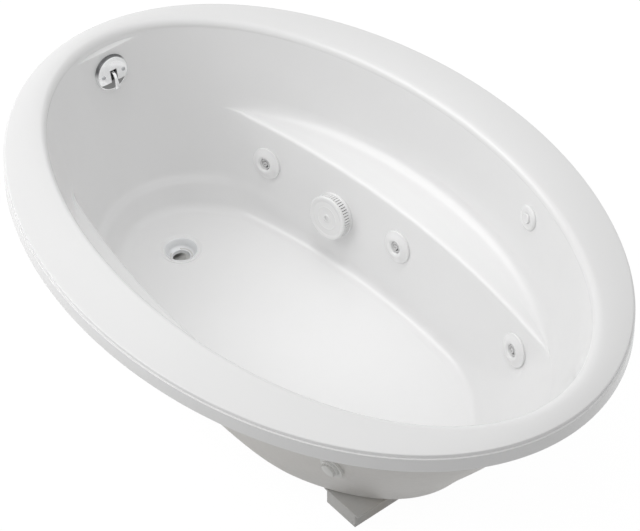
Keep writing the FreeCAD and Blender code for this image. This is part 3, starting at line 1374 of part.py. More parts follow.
nipple_end = along(switch_frame, -value("switch_length + nipple_length"))
behind = switch_frame.Rotation.multVec(Vector(0, 0, -1))
box_top = pump_at + Vector(value(f"{plate_back} + control_box_start") + 12, 0, value("motor_radius + control_box_height"))
tube_level = value("switch_tube_height")
corner = nipple_end + behind * value("switch_tube_run")
route = [
    nipple_end - behind * (value("nipple_length") - 1), corner, Vector(corner.x, corner.y, tube_level),
    Vector(box_top.x, box_top.y, tube_level), box_top,
]
line = pipe(route, value("switch_tube_radius"), value("switch_tube_bend"))
solid("switch_tube", line.cut(cylinder(value("nipple_radius + pin_clearance"), route[0], nipple_end)))

# ---------------------------------------------------------------- report of what was built


doc.recompute()
faults = [f"{o.Name} is {o.State}" for o in doc.Objects if "Invalid" in o.State or "Error" in o.State]
faults += [f"{p.Label} has no valid shape" for p in pieces if p.Shape.isNull() or not p.Shape.isValid()]
if faults:
    raise RuntimeError("; ".join(faults))
for piece in pieces:
    piece.Shape.exportStep(f"parts/{piece.Label}.step")
print(len(pieces), "pieces")
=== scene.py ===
import functools
import json
import math

import bmesh
import bpy
from bpy.props import FloatProperty, FloatVectorProperty, IntProperty
from mathutils import Matrix, Vector

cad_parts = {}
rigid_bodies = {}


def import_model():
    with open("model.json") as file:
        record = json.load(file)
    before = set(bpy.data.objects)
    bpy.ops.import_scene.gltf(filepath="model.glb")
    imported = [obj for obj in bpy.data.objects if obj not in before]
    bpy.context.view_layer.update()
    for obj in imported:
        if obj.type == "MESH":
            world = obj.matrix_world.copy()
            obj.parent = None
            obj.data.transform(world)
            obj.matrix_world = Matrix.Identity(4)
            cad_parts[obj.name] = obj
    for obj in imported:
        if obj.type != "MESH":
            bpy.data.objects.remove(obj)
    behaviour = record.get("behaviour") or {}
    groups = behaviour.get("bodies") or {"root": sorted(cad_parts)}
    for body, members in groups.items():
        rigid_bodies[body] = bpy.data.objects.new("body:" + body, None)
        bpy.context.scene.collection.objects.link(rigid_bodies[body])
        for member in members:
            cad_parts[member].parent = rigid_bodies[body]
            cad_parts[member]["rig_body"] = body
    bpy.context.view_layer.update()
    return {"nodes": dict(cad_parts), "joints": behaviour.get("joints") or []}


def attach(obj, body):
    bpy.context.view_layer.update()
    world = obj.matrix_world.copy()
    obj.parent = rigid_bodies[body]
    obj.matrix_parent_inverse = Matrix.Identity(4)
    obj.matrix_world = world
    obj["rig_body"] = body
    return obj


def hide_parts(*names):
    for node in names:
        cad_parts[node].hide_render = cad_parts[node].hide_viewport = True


bl_info = {
    "name": "Oval jetted bathtub",
    "version": (1, 0, 0),
    "blender": (4, 5, 0),
    "location": "3D View > Sidebar > Bathtub",
    "description": "Builds the smooth shell, the fittings and the finishes of an oval drop-in jetted bathtub",
    "category": "Object",
}

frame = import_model()
NODES = frame["nodes"]
JOINTS = {joint["name"]: joint for joint in frame["joints"]}
MM = 0.001


# -------------------- settings


def length(name, about, millimetres):
    return FloatProperty(name=name, description=about, default=millimetres * MM, min=0, unit="LENGTH")


def colour(name, about, value):
    return FloatVectorProperty(
        name=name, description=about, default=value, size=3, min=0, max=1, subtype="COLOR"
    )


class ShellSizes(bpy.types.PropertyGroup):
    """Sizes of the shell that a user may change."""

    around: IntProperty(name="Faces around", description="Faces around the oval", default=416, min=64, max=640)
    wall: length("Wall", "Thickness of the shell's wall", 8)
    ledge_edge: length("Ledge edge", "Rounding of the armrest's front edge", 10)
    ledge_root: length("Ledge root", "Rounding where the ledge meets the upper wall", 34)
    floor_round: length("Floor rounding", "Radius between the wall and the floor", 30)
    corner_blend: length("Corner blend", "Softness where the armrests run into the ends", 16)
    pad_blend: length("Shield blend", "Softness of the overflow shield's outline", 3)
    rim_round: length("Rim rounding", "Rounding of the rim's outer edges", 2.5)
    bead_round: length("Bead rounding", "Rounding of the bead under the rim", 1.2)


class Finishes(bpy.types.PropertyGroup):
    """Colours of the finishes."""

    acrylic: colour("Acrylic", "Glossy face of the shell", (0.86, 0.86, 0.86))
    resin: colour("Resin", "Outside of the shell", (0.68, 0.665, 0.64))
    trim: colour("Trim", "Moulded trims of the fittings", (0.86, 0.86, 0.86))
    nozzle: colour("Nozzle", "Jet nozzles", (0.80, 0.80, 0.80))
    fitting: colour("Fitting", "Jet bodies and nuts behind the wall", (0.74, 0.74, 0.72))
    pipe: colour("Pipe", "Rigid waste and water pipes", (0.78, 0.78, 0.76))
    hose: colour("Hose", "Air hose of the switch", (0.66, 0.69, 0.70))
    rubber: colour("Rubber", "Gaskets", (0.022, 0.022, 0.022))
    chrome: colour("Chrome", "Polished plate", (0.90, 0.905, 0.91))
    drain: colour("Drain", "Drain flange", (0.90, 0.91, 0.92))
    steel: colour("Steel", "Screws and shafts", (0.52, 0.53, 0.54))
    board: colour("Board", "Base board and feet under the resin", (0.55, 0.43, 0.29))
    foot: colour("Foot", "Resin-coated feet", (0.56, 0.555, 0.54))
    motor: colour("Motor", "Motor enamel", (0.035, 0.038, 0.042))
    bracket: colour("Bracket", "Bracket enamel", (0.10, 0.105, 0.11))
    pump: colour("Pump", "Pump mouldings", (0.028, 0.028, 0.030))
    impeller: colour("Impeller", "Impeller and fan", (0.66, 0.62, 0.50))


class StageSettings(bpy.types.PropertyGroup):
    """Floor, lamps and camera."""

    key_power: FloatProperty(name="Key lamp", description="Large soft lamp, upper left", default=84, min=0)
    top_power: FloatProperty(name="Top lamp", description="Soft lamp over the tub", default=26, min=0)
    low_power: FloatProperty(name="Low lamp", description="Soft lamp near the floor, left", default=30, min=0)
    bowl_power: FloatProperty(name="Bowl lamp", description="Narrow lamp over the bowl", default=150, min=0)
    room_light: FloatProperty(name="Room light", description="Strength of the even light", default=0.50, min=0)
    lens: FloatProperty(name="Lens", description="Focal length", default=139.7, min=1, unit="CAMERA")


# -------------------- mesh helpers


def as_object(name, bm):
    """Turns a bmesh into an object of the scene."""
    mesh = bpy.data.meshes.new(name)
    bm.to_mesh(mesh)
    bm.free()
    made = bpy.data.objects.new(name, mesh)
    bpy.context.scene.collection.objects.link(made)
    return made


def piece(name, bm, node, body, slot, finishes=(), crease=38):
    """Turns a bmesh into a finished piece that rides on a body and stands for a CAD node."""
    made = as_object(name, bm)
    for one in finishes or (slot,):
        made.data.materials.append(finish(one))
    made.data.shade_smooth()
    made.data.set_sharp_from_angle(angle=math.radians(crease))
    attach(made, body)
    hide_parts(node)
    return made


def welded(bm):
    """Merges a mesh's doubles."""
    bmesh.ops.remove_doubles(bm, verts=bm.verts, dist=1e-6)
    return bm


def moved(bm, matrix):
    bmesh.ops.transform(bm, matrix=matrix, verts=bm.verts)
    return bm


def shift(x=0, y=0, z=0):
    """A move in millimetres."""
    return Matrix.Translation((x * MM, y * MM, z * MM))


def rounded(bm, edges, radius, segments=2):
    """Rounds edges to a radius in millimetres."""
    bmesh.ops.bevel(
        bm, geom=edges, offset=radius * MM, segments=segments, profile=0.5, affect="EDGES", material=-1,
        clamp_overlap=True,
    )
    return bm


def turned(points, steps=72):
    """A profile of (radius, height, rounding) in millimetres, turned about the Z axis."""
    bm = bmesh.new()
    corners = [bm.verts.new((r * MM, 0, z * MM)) for r, z, _ in points]
    edges = [bm.edges.new(pair) for pair in zip(corners, corners[1:])]
    if points[0][0] > 0 or points[-1][0] > 0:
        edges.append(bm.edges.new((corners[-1], corners[0])))
    bmesh.ops.spin(
        bm, geom=corners + edges, cent=(0, 0, 0), axis=(0, 0, 1), angle=math.tau, steps=steps, use_merge=True
    )
    bmesh.ops.recalc_face_normals(welded(bm), faces=bm.faces)
    for radius, height, rounding in points:
        if rounding > 0:
            ring = [
                e for e in bm.edges
                if all(abs(v.co.z - height * MM) < 1e-6 and abs(v.co.xy.length - radius * MM) < 1e-6
                       for v in e.verts)
            ]
            rounded(bm, ring, rounding, 3)
    return bm


def added(bm, other, matrix=None):
    """Copies one bmesh into another."""
    if matrix is not None:
        moved(other, matrix)
    mesh = bpy.data.meshes.new("joined")
    other.to_mesh(mesh)
    other.free()
    bm.from_mesh(mesh)
    bpy.data.meshes.remove(mesh)
    return bm


def rod(radius, low, high, steps=48):
    """A cylinder along Z between two heights, in millimetres."""
    bm = bmesh.new()
    bmesh.ops.create_cone(
        bm, cap_ends=True, segments=steps, radius1=radius * MM, radius2=radius * MM, depth=(high - low) * MM
    )
    return moved(bm, shift(z=(high + low) / 2))


def block(low, high, rounding=0.0):
    """A box between two corners in millimetres, with rounded edges."""
    bm = bmesh.new()
    bmesh.ops.create_cube(bm, size=1)
    bmesh.ops.scale(bm, vec=[(b - a) * MM for a, b in zip(low, high)], verts=bm.verts)
    moved(bm, shift(*((b + a) / 2 for a, b in zip(low, high))))
    return rounded(bm, bm.edges, rounding) if rounding else bm


def cut(bm, tool):
    """Takes one bmesh out of another."""
    base = as_object("base", bm)
    other = as_object("tool", tool)
    step = base.modifiers.new("cut", "BOOLEAN")
    step.operation = "DIFFERENCE"
    step.solver = "EXACT"
    step.object = other
    view = bpy.context.evaluated_depsgraph_get()
    mesh = bpy.data.meshes.new_from_object(base.evaluated_get(view))
    made = bmesh.new()
    made.from_mesh(mesh)
    for thing in (base, other):
        data = thing.data
        bpy.data.objects.remove(thing)
        bpy.data.meshes.remove(data)
    bpy.data.meshes.remove(mesh)
    return welded(made)


def shortened(bm, seat, height, outer):
    """Cuts a fitting at a height over its seat and closes it; the outer or the inner side goes."""
    bmesh.ops.bisect_plane(
        bm, geom=bm.verts[:] + bm.edges[:] + bm.faces[:], plane_co=seat @ Vector((0, 0, height * MM)),
        plane_no=seat.to_3x3() @ Vector((0, 0, 1)), clear_outer=outer, clear_inner=not outer,
    )
    bmesh.ops.holes_fill(bm, edges=[e for e in bm.edges if e.is_boundary], sides=0)
    return bm


def seat_matrix(seat, facing):
    """The frame of a fitting: local Z looks away from its wall, local Y looks up."""
    out = Vector(facing).normalized()
    up = (Vector((0, 0, 1)) - out * out.z).normalized()
    turn = Matrix((up.cross(out), up, out)).transposed().to_4x4()
    return Matrix.Translation(seat) @ turn


def merged(node):
    """A copy of a CAD node's mesh with its doubles merged."""
    bm = bmesh.new()
    bm.from_mesh(NODES[node].data)
    return welded(bm)


def finished_copy(node, slot, rounding=0.0):
    """A merged copy of a CAD node, smooth over its round faces, that stands for the node."""
    bm = merged(node)
    if rounding:
        bmesh.ops.dissolve_limit(bm, angle_limit=math.radians(1), verts=bm.verts, edges=bm.edges)
        sharp = [e for e in bm.edges if e.is_manifold and e.calc_face_angle(0) > math.radians(60)]
        rounded(bm, sharp, rounding)
    return piece(f"{node}_finished", bm, node, NODES[node]["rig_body"], slot, crease=32)


# Where each fitting stands on the wall, in metres, and the way it faces.
RING_TURNS = {n: JOINTS[f"ring_{n}_turn"] for n in range(1, 7)}
JET_SEATS = {n: seat_matrix(turn["pos_m"], turn["axis"]) for n, turn in RING_TURNS.items()}
SUCTION_SEAT = seat_matrix((-0.217934, 0.254173, 0.182099), (0.1072, -0.9811, 0.1612))
SWITCH_SEAT = seat_matrix((0.254904, 0.373128, 0.432080), (-0.2303, -0.9541, 0.1916))
OVERFLOW_SEAT = seat_matrix((-0.678894, 0, 0.428), (0.9829, 0, 0.184))


# -------------------- finishes


class Value:
    """A shader socket that maths can be written with."""

    def __init__(self, nodes, socket):
        self.nodes = nodes
        self.socket = socket

    def maths(self, operation, a, b):
        return self.nodes.add("Math", {"operation": operation}, {0: a, 1: b})

    def __add__(self, other):
        return self.maths("ADD", self, other)

    def __radd__(self, other):
        return self.maths("ADD", other, self)

    def __sub__(self, other):
        return self.maths("SUBTRACT", self, other)

    def __rsub__(self, other):
        return self.maths("SUBTRACT", other, self)

    def __mul__(self, other):
        return self.maths("MULTIPLY", self, other)

    def __rmul__(self, other):
        return self.maths("MULTIPLY", other, self)

    def __pow__(self, other):
        return self.maths("POWER", self, other)

    def __rpow__(self, other):
        return self.maths("POWER", other, self)


class Nodes:
    """The nodes of a material or of the world."""

    def __init__(self, tree):
        self.tree = tree
        tree.nodes.clear()

    def add(self, kind, settings=None, inputs=None, output=0):
        """Makes a node from its type, its settings and the values or links of its sockets."""
        node = self.tree.nodes.new(f"ShaderNode{kind}")
        for key, value in (settings or {}).items():
            setattr(node, key, value)
        for key, value in (inputs or {}).items():
            if isinstance(value, Value):
                self.tree.links.new(value.socket, node.inputs[key])
            else:
                node.inputs[key].default_value = value
        return Value(self, node.outputs[output]) if node.outputs else node

    def seen(self):
        """1 for what the camera sees, straight or in metal and clear surfaces."""
        camera, glossy, clear = (
            self.add("LightPath", output=f"Is {ray} Ray") for ray in ("Camera", "Glossy", "Transmission")
        )
        either = camera.maths("MAXIMUM", camera, glossy)
        return either.maths("MAXIMUM", either, clear)


class Paint(Nodes):
    """A material being made, on Object coordinates."""

    def __init__(self, name, **constants):
        self.material = bpy.data.materials.new(name)
        self.material.use_nodes = True
        super().__init__(self.material.node_tree)
        self.surface = self.add("BsdfPrincipled")
        self.shader = self.surface.socket.node
        self.output = self.add("OutputMaterial", {}, {"Surface": self.surface})
        self.place = self.add("TexCoord", output="Object")
        for socket, value in constants.items():
            self.shader.inputs[socket.replace("_", " ")].default_value = value

    def local(self, seat):
        """How far a point is across and up from the middle of a fitting, in metres."""
        back = seat.inverted()
        spot = self.add("Mapping", {}, {
            "Vector": self.place, "Location": back.translation[:], "Rotation": back.to_euler()[:],
        })
        return [self.add("SeparateXYZ", {}, {0: spot}, output=axis) for axis in "XY"]

    def stretched(self, scale):
        return self.add("Mapping", {}, {"Vector": self.place, "Scale": scale})

    def noise(self, scale, detail=2.0, roughness=0.5, place=None):
        return self.add(
            "TexNoise", {},
            {"Vector": place or self.place, "Scale": scale, "Detail": detail, "Roughness": roughness},
        )

    def ramp(self, value, low, high):
        """A mask that goes from 0 at low to 1 at high."""
        return self.add("MapRange", {"interpolation_type": "SMOOTHSTEP"},
                        {"Value": value, "From Min": low, "From Max": high})

    def mix(self, mask, first, second):
        """A colour between two, by a mask."""
        ends = [part if isinstance(part, Value) else (*part, 1) for part in (first, second)]
        return self.add("Mix", {"data_type": "RGBA"}, {0: mask, 6: ends[0], 7: ends[1]}, output=2)

    def feed(self, socket, value):
        self.tree.links.new(value.socket, self.shader.inputs[socket])

    def bump(self, value, strength, distance):
        self.feed("Normal", self.add(
            "Bump", {}, {"Strength": strength, "Distance": distance, "Height": value}, output="Normal"
        ))


def tinted(value, share):
    return tuple(min(1, part * share) for part in value)


def acrylic(name, base, gloss=0.20, peel=0.02):
    """Cast acrylic: deep gloss with a faint orange peel."""
    paint = Paint(name, IOR=1.49, Coat_Roughness=0.10)
    cloud = paint.noise(3.0, 3)
    fine = paint.noise(55.0, 2)
    paint.feed("Base Color", paint.mix(cloud, tinted(base, 0.985), tinted(base, 1.012)))
    paint.feed("Roughness", gloss + cloud * 0.05 + fine * 0.03)
    paint.feed("Coat Weight", 0.25 + fine * 0.1)
    paint.bump(fine, peel, 0.0006)
    return paint.material


def moulded(name, base, gloss=0.32, grain=900.0, depth=0.12):
    """Moulded plastic with a fine grain and slight flow marks."""
    paint = Paint(name, IOR=1.5)
    flow = paint.noise(28.0, 3, 0.6)
    fine = paint.noise(grain, 2)
    paint.feed("Base Color", paint.mix(flow, tinted(base, 0.96), tinted(base, 1.03)))
    paint.feed("Roughness", gloss - 0.05 + flow * 0.1 + fine * 0.04)
    paint.bump(fine, depth, 0.0001)
    return paint.material


def polished(name, base, gloss=0.05):
    """Plated metal with faint wipe marks."""
    paint = Paint(name, Metallic=1.0)
    wipe = paint.noise(60.0, 4, 0.6, paint.stretched((1, 1, 5)))
    paint.feed("Base Color", paint.mix(wipe, tinted(base, 0.97), tinted(base, 1.02)))
    paint.feed("Roughness", gloss + wipe * 0.06)
    return paint.material


def hood_chrome(name, base):
    """The overflow hood's plating: bright on its face, with a painted dark reflection where its upper edge
    turns away.
    """
    paint = Paint(name, Metallic=1.0)
    x, y = paint.local(OVERFLOW_SEAT)
    radius = (x * x + y * y) ** 0.5
    # painted dark reflection: the hood's upper rim is coloured near black, as if it mirrored something dark
    painted_dark_reflection = paint.ramp(radius, 0.0368, 0.0390) * paint.ramp(y - x * 0.2, 0.010, 0.026)
    wipe = paint.noise(60.0, 4, 0.6)
    bright = paint.mix(wipe, tinted(base, 0.97), tinted(base, 1.02))
    paint.feed("Base Color", paint.mix(painted_dark_reflection * 0.9, bright, (0.09, 0.092, 0.096)))
    paint.feed("Roughness", 0.08 + wipe * 0.06)
    return paint.material


def hood_inside(name, base):
    """The wall behind the hood: painted black shade behind the lever's slot, grey where the hood opens below.
    """
    paint = Paint(name, IOR=1.5)
    x, y = paint.local(OVERFLOW_SEAT)
    # painted shade: near black on the backing behind the lever's slot
    slot = paint.ramp(x * x, 0.000121, 0.000081) * paint.ramp(y, -0.022, -0.018)
    grain = paint.noise(200.0, 3)
    paint.feed("Base Color", paint.mix(slot, base, (0.012, 0.012, 0.012)))
    paint.feed("Roughness", 0.4 + grain * 0.2)
    paint.bump(grain, 0.1, 0.0002)
    return paint.material


def brushed(name, base, gloss=0.24, stretch=(1, 1, 30), metal=1.0):
    """Satin metal with brush lines."""
    paint = Paint(name, Metallic=metal)
    lines = paint.noise(160.0, 3, 0.7, paint.stretched(stretch))
    paint.feed("Base Color", paint.mix(lines, tinted(base, 0.9), tinted(base, 1.06)))
    paint.feed("Roughness", gloss + lines * 0.16)
    paint.bump(lines, 0.12, 0.0001)
    return paint.material


def laminate(name, base):
    """The resin-backed outside: satin, with chopped strands that show through and a few drips."""
    paint = Paint(name, IOR=1.5)
    strands = paint.noise(120.0, 5, 0.75, paint.stretched((1, 1, 0.35)))
    cross = paint.noise(110.0, 5, 0.75, paint.stretched((0.3, 0.3, 1)))
    patches = paint.noise(7.0, 3)
    weave = (strands + cross) * 0.5
    even = paint.mix(patches, tinted(base, 0.96), tinted(base, 1.05))
    worn = paint.ramp(weave, 0.42, 0.62)
    paint.feed("Base Color", paint.mix(worn * 0.25, even, tinted(base, 0.90)))
    paint.feed("Roughness", 0.36 + weave * 0.16)
    paint.bump(weave, 0.16, 0.0008)
    return paint.material


def enamel(name, base, gloss=0.38):
    """Sprayed enamel on cast metal."""
    paint = Paint(name, IOR=1.5)
    cast = paint.noise(180.0, 3, 0.6)
    dust = paint.ramp(paint.noise(22.0, 4, 0.65), 0.55, 0.8)
    paint.feed("Base Color", paint.mix(dust * 0.25, tinted(base, 1.0), tinted(base, 1.9)))
    paint.feed("Roughness", gloss + cast * 0.18)
    paint.bump(cast, 0.25, 0.0004)
    return paint.material


def rubbery(name, base):
    paint = Paint(name, IOR=1.5)
    fine = paint.noise(700.0, 3)
    bloom = paint.noise(30.0, 3)
    paint.feed("Base Color", paint.mix(bloom, tinted(base, 0.8), tinted(base, 1.5)))
    paint.feed("Roughness", 0.6 + fine * 0.2)
    paint.bump(fine, 0.3, 0.0002)
    return paint.material


def timber(name, base, coat):
    """Board under a brushed coat of resin: the grain shows through unevenly."""
    paint = Paint(name, IOR=1.5)
    grain = paint.noise(40.0, 5, 0.7, paint.stretched((9, 1, 9)))
    cover = paint.ramp(paint.noise(9.0, 4), 0.30, 0.60)
    bare = paint.mix(grain, tinted(base, 0.72), tinted(base, 1.15))
    sealed = paint.mix(grain, tinted(coat, 0.93), tinted(coat, 1.04))
    paint.feed("Base Color", paint.mix(0.82 + cover * 0.18, bare, sealed))
    paint.feed("Roughness", 0.42 + grain * 0.2)
    paint.bump(grain, 0.2, 0.0006)
    return paint.material


def clear_hose(name, base):
    paint = Paint(name, IOR=1.45, Transmission_Weight=0.25)
    haze = paint.noise(45.0, 3)
    paint.feed("Base Color", paint.mix(haze, tinted(base, 0.9), tinted(base, 1.08)))
    paint.feed("Roughness", 0.25 + haze * 0.15)
    return paint.material


def make_finishes(chosen):
    """Every finish of the tub, by the name of its material slot."""
    return {
        "shell_white": acrylic("shell_acrylic", chosen.acrylic),
        "shell_back": laminate("shell_laminate", chosen.resin),
        "trim_white": acrylic("trim_moulding", chosen.trim, gloss=0.2, peel=0.03),
        "nozzle_grey": moulded("nozzle_moulding", chosen.nozzle, 0.3),
        "fitting_white": moulded("fitting_moulding", chosen.fitting, 0.36),
        "pipe_white": moulded("pipe_plastic", chosen.pipe, 0.30, 500.0, 0.06),
        "hose_clear": clear_hose("air_hose", chosen.hose),
        "rubber_black": rubbery("gasket_rubber", chosen.rubber),
        "chrome": polished("chrome_plate", chosen.chrome),
        "hood_chrome": hood_chrome("hood_plate", chosen.chrome),
        "hood_inside": hood_inside("hood_backing", (0.36, 0.36, 0.36)),
        "drain_metal": brushed("drain_satin", chosen.drain, 0.26, (1, 1, 8), 0.25),
        "steel": brushed("turned_steel", chosen.steel),
        "base_wood": timber("base_board_finish", chosen.board, tinted(chosen.foot, 0.9)),
        "foot_grey": timber("foot_finish", chosen.board, chosen.foot),
        "motor_paint": enamel("motor_enamel", chosen.motor),
        "bracket_steel": enamel("bracket_enamel", chosen.bracket, 0.45),
        "pump_black": moulded("pump_moulding", chosen.pump, 0.38, 600.0, 0.2),
        "impeller_plastic": moulded("impeller_moulding", chosen.impeller, 0.4),
    }


FINISHES = {}


def finish(slot):
    """One of the tub's finishes; the first call makes them all."""
    if not FINISHES:
        FINISHES.update(make_finishes(bpy.context.scene.tub_finishes))
    return FINISHES[slot]


# -------------------- the shell

# Heights and other sizes in millimetres, from the middle of the tub and the floor under it.
HALF_LENGTH = 762
HALF_WIDTH = 533.5
RIM_TOP = 508
RIM_EDGE = 500
RIM_UNDER = 492
MOUTH = 491
LEDGE = 300
FLOOR = 62
ROOF = 54
BASE = 38
ARMREST_FRONT = 285
ARMREST_LEAN = 37
ARMREST_BOW = 2200
ARMREST_TIGHTER = 9.3
ARMREST_SKIN = 13
# The bowl's height, and its reach to the drain end, the backrest end and the side there.
LEVELS = [
    (540, 712, 709, 421), (500, 705, 700, 415), (400, 682, 668, 398), (300, 656, 614, 377),
    (200, 631, 547, 345), (110, 606, 482, 305), (62, 585, 442, 272), (38, 574, 420, 256),
]
BACK_LEVELS = [
    (540, 720, 717, 429), (500, 713, 708, 423), (400, 690, 676, 406), (300, 664, 622, 385),
    (200, 639, 555, 353), (110, 614, 490, 313), (38, 585, 442, 276), (10, 574, 424, 262),
]
# The same three reaches of the mouth, of its flare to the deck and of the base's lip.
MOUTH_REACH = (703, 698, 413)
FLARE = (14, 26, 14)
BASE_LIP = (561, 418, 237)
ROLL_DEPTH = 16
FLOOR_LINE = (-400, 250)
DRAIN_X = -450
COVE = 11
COVE_TOP = 128
COVE_FULL = 420
COVE_SOFT = 9
SEAT_FADE = 12
SEAT_DEPTH = 45
SHIELD = {"top_x": -689, "top": 482, "low": 270, "slope": math.tan(math.radians(10.6))}


@functools.lru_cache(maxsize=None)
def reach(height, outside=False):
    """How far the bowl reaches to the drain end, the backrest end and the side at a height."""
    spots = BACK_LEVELS if outside else LEVELS
    last = len(spots) - 2
    i = next((i for i in range(last) if height >= spots[i + 1][0]), last)
    above, high, low, below = (spots[min(max(k, 0), last + 1)] for k in range(i - 1, i + 3))
    span = high[0] - low[0]
    t = (high[0] - height) / span
    found = []
    for before, a, b, after in zip(above[1:], high[1:], low[1:], below[1:]):
        start = (b - before) / (above[0] - low[0]) * span
        end = (after - a) / (high[0] - below[0]) * span
        found.append(
            (2 * t ** 3 - 3 * t ** 2 + 1) * a + (t ** 3 - 2 * t ** 2 + t) * start
            + (3 * t ** 2 - 2 * t ** 3) * b + (t ** 3 - t ** 2) * end
        )
    return found


def on_oval(size, turn):
    """A point of an oval that reaches (drain, back, side) from the centre."""
    drain, back, side = size
    return (back - drain) / 2 + (back + drain) / 2 * math.cos(turn), side * math.sin(turn)


def soft_least(a, b, blend):
    """The smaller of two numbers, with a rounded change from one to the other."""
    share = max(blend - abs(a - b), 0) / blend
    return min(a, b) - share * share * blend / 4


def soft_step(value, edge, half):
    """1 well below the edge, 0 well above it, with a rounded change."""
    t = min(max((edge + half - value) / (2 * half), 0), 1)
    return t * t * (3 - 2 * t)


def armrest_front(x, height):
    """How far the armrest's bowed and sloping face stands from the middle."""
    low = BASE / 2
    share = (height - low) / (LEDGE - low)
    inward = ARMREST_LEAN / (LEDGE - FLOOR) * (LEDGE - low) * (1 - share)
    radius = ARMREST_BOW - ARMREST_TIGHTER * inward
    return ARMREST_FRONT - inward - (radius - math.sqrt(radius ** 2 - x ** 2))


def wall(turn, height, sizes, outside=False, rested=True):
    """A point of the bowl's wall: an oval, held in by the armrests' faces below the ledge."""
    x, y = on_oval(reach(height, outside), turn)
    ledge = LEDGE - sizes.wall / MM if outside else LEDGE
    if rested and height <= ledge + 0.01:
        limit = armrest_front(x, height) + (ARMREST_SKIN if outside else 0)
        held = soft_least(abs(y), limit, sizes.corner_blend / MM)
        y = math.copysign(held, y)
    if not outside and x < 0:
        x += COVE * min(abs(x) / COVE_FULL, 1) ** 2 * soft_step(height, COVE_TOP, COVE_SOFT)
    if not outside and SHIELD["low"] < height < SHIELD["top"]:
        face = SHIELD["top_x"] + (SHIELD["top"] - height) * SHIELD["slope"]
        x = -soft_least(-x, -face, sizes.pad_blend / MM)
    return Vector((x, y, height))


def arc(start, corner, end, steps):
    """A soft bend from start to end inside a corner."""
    first = start - corner
    last = end - corner
    if first.length + last.length < 1e-6:
        return [corner.copy() for _ in range(steps + 1)]
    spread = first.angle(last, math.pi) if min(first.length, last.length) > 1e-9 else math.pi
    weight = math.sin(spread / 2)
    found = []
    for k in range(steps + 1):
        t = k / steps
        a, b, c = (1 - t) ** 2, 2 * weight * t * (1 - t), t * t
        found.append((start * a + corner * b + end * c) / (a + b + c))
    return found


def bend(before, corner, after, radius, steps):
    """A rounded corner between two straight runs, no longer than half of each."""
    first = before - corner
    last = after - corner
    if first.length < 1e-6 or last.length < 1e-6:
        return [corner.copy() for _ in range(steps + 1)]
    spread = first.angle(last)
    run = radius / max(math.tan(spread / 2), 1e-6)
    start = corner + first.normalized() * min(run, first.length * 0.5)
    end = corner + last.normalized() * min(run, last.length * 0.5)
    return arc(start, corner, end, steps)


def steps_between(high, low, count):
    return [high + (low - high) * k / count for k in range(count + 1)]


def ledge_rows(skin, ledge, root, edge, steps):
    """The rows over an armrest: its rounded root, its flat and its rounded edge."""
    back = skin(ledge, rested=False)
    front = skin(ledge)
    width = (front - back).length
    inward = (front - back).normalized() if width > 1e-6 else Vector((0, 0, 0))
    near = back + inward * min(root, width * 0.45)
    far = front - inward * min(edge, width * 0.45)
    over, across, under = steps
    return (
        arc(skin(ledge + root), back, near, over)
        + [near.lerp(far, k / across) for k in range(1, across)]
        + arc(far, front, skin(ledge - edge), under)
    )


def foot_rows(skin, height, sizes, steps):
    """The rows round the bend from the wall into a floor, and the point at the floor's middle."""
    corner = skin(height)
    middle = Vector((max(min(corner.x, FLOOR_LINE[1]), FLOOR_LINE[0]), 0, height))
    rise = skin(height + 30)
    return bend(rise + (rise - corner) * 2, corner, middle, sizes.floor_round / MM, steps), middle


def inner_column(turn, sizes):
    """The inside of the shell at one angle, from the mouth down to the middle of the floor."""
    skin = functools.partial(wall, turn, sizes=sizes)
    shield_top = SHIELD["top"]
    column = [skin(z) for z in steps_between(MOUTH, shield_top + 0.5, 3)]
    above = skin(shield_top + 0.001)
    below = skin(shield_top - 0.001)
    stepped = (above - below).length > 0.2
    column += [above.lerp(below, k / 3) for k in (1, 2)] if stepped else [above, above]
    root = sizes.ledge_root / MM
    edge = sizes.ledge_edge / MM
    column += [skin(z) for z in steps_between(shield_top - 1.2, LEDGE + root + 1, 25)]
    column += ledge_rows(skin, LEDGE, root, edge, (5, 7, 6))
    around, middle = foot_rows(skin, FLOOR, sizes, 8)
    column += [skin(z) for z in steps_between(LEDGE - edge - 7, around[0].z + 4, 25)]
    return column + around + [around[-1].lerp(middle, k / 12) for k in range(1, 12)]


def rim_column(turn, sizes):
    """The rim at one angle, from its underside round its edge and over the deck to the mouth."""

    def ring(inset, height, side_inset=None):
        side = inset if side_inset is None else side_inset
        return Vector((*on_oval((HALF_LENGTH - inset, HALF_LENGTH - inset, HALF_WIDTH - side), turn), height))

    edge = sizes.rim_round / MM
    bead = sizes.bead_round / MM
    corners = [
        (ring(10, MOUTH), 0), (ring(8, 459), 1.5), (ring(0, 459), 2), (ring(2, 488), 0.6),
        (ring(1.5, 488), bead), (ring(1.5, RIM_UNDER), bead), (ring(5, RIM_UNDER), 0.6),
        (ring(5, RIM_EDGE), edge), (ring(40, RIM_TOP, 99.5), 0),
    ]
    column = [ring(10, 491.2), ring(9, 475)]
    for before, (corner, radius), after in zip(corners, corners[1:-1], corners[2:]):
        column += bend(before[0], corner, after[0], radius, 4)
    out = corners[-2][0]
    crown = corners[-1][0]
    roll = []
    for k in range(9, -1, -1):
        angle = math.pi / 2 * k / 9
        o = 1 - math.cos(angle)
        spot = on_oval([mouth + flare * o for mouth, flare in zip(MOUTH_REACH, FLARE)], turn)
        roll.append(Vector((*spot, RIM_TOP - ROLL_DEPTH * (1 - math.sin(angle)))))
    deck_in = roll[0]
    outer = column[-1]
    for k in range(1, 15):
        t = k / 15
        spot = outer.lerp(deck_in, t)
        spread = (crown.xy - out.xy).length / max((deck_in.xy - out.xy).length, 1e-6)
        up = min(t / max(spread, 0.05), 1)
        spot.z = outer.z + (RIM_TOP - outer.z) * (1 - (1 - up) ** 1.7)
        column.append(spot)
    return column + roll


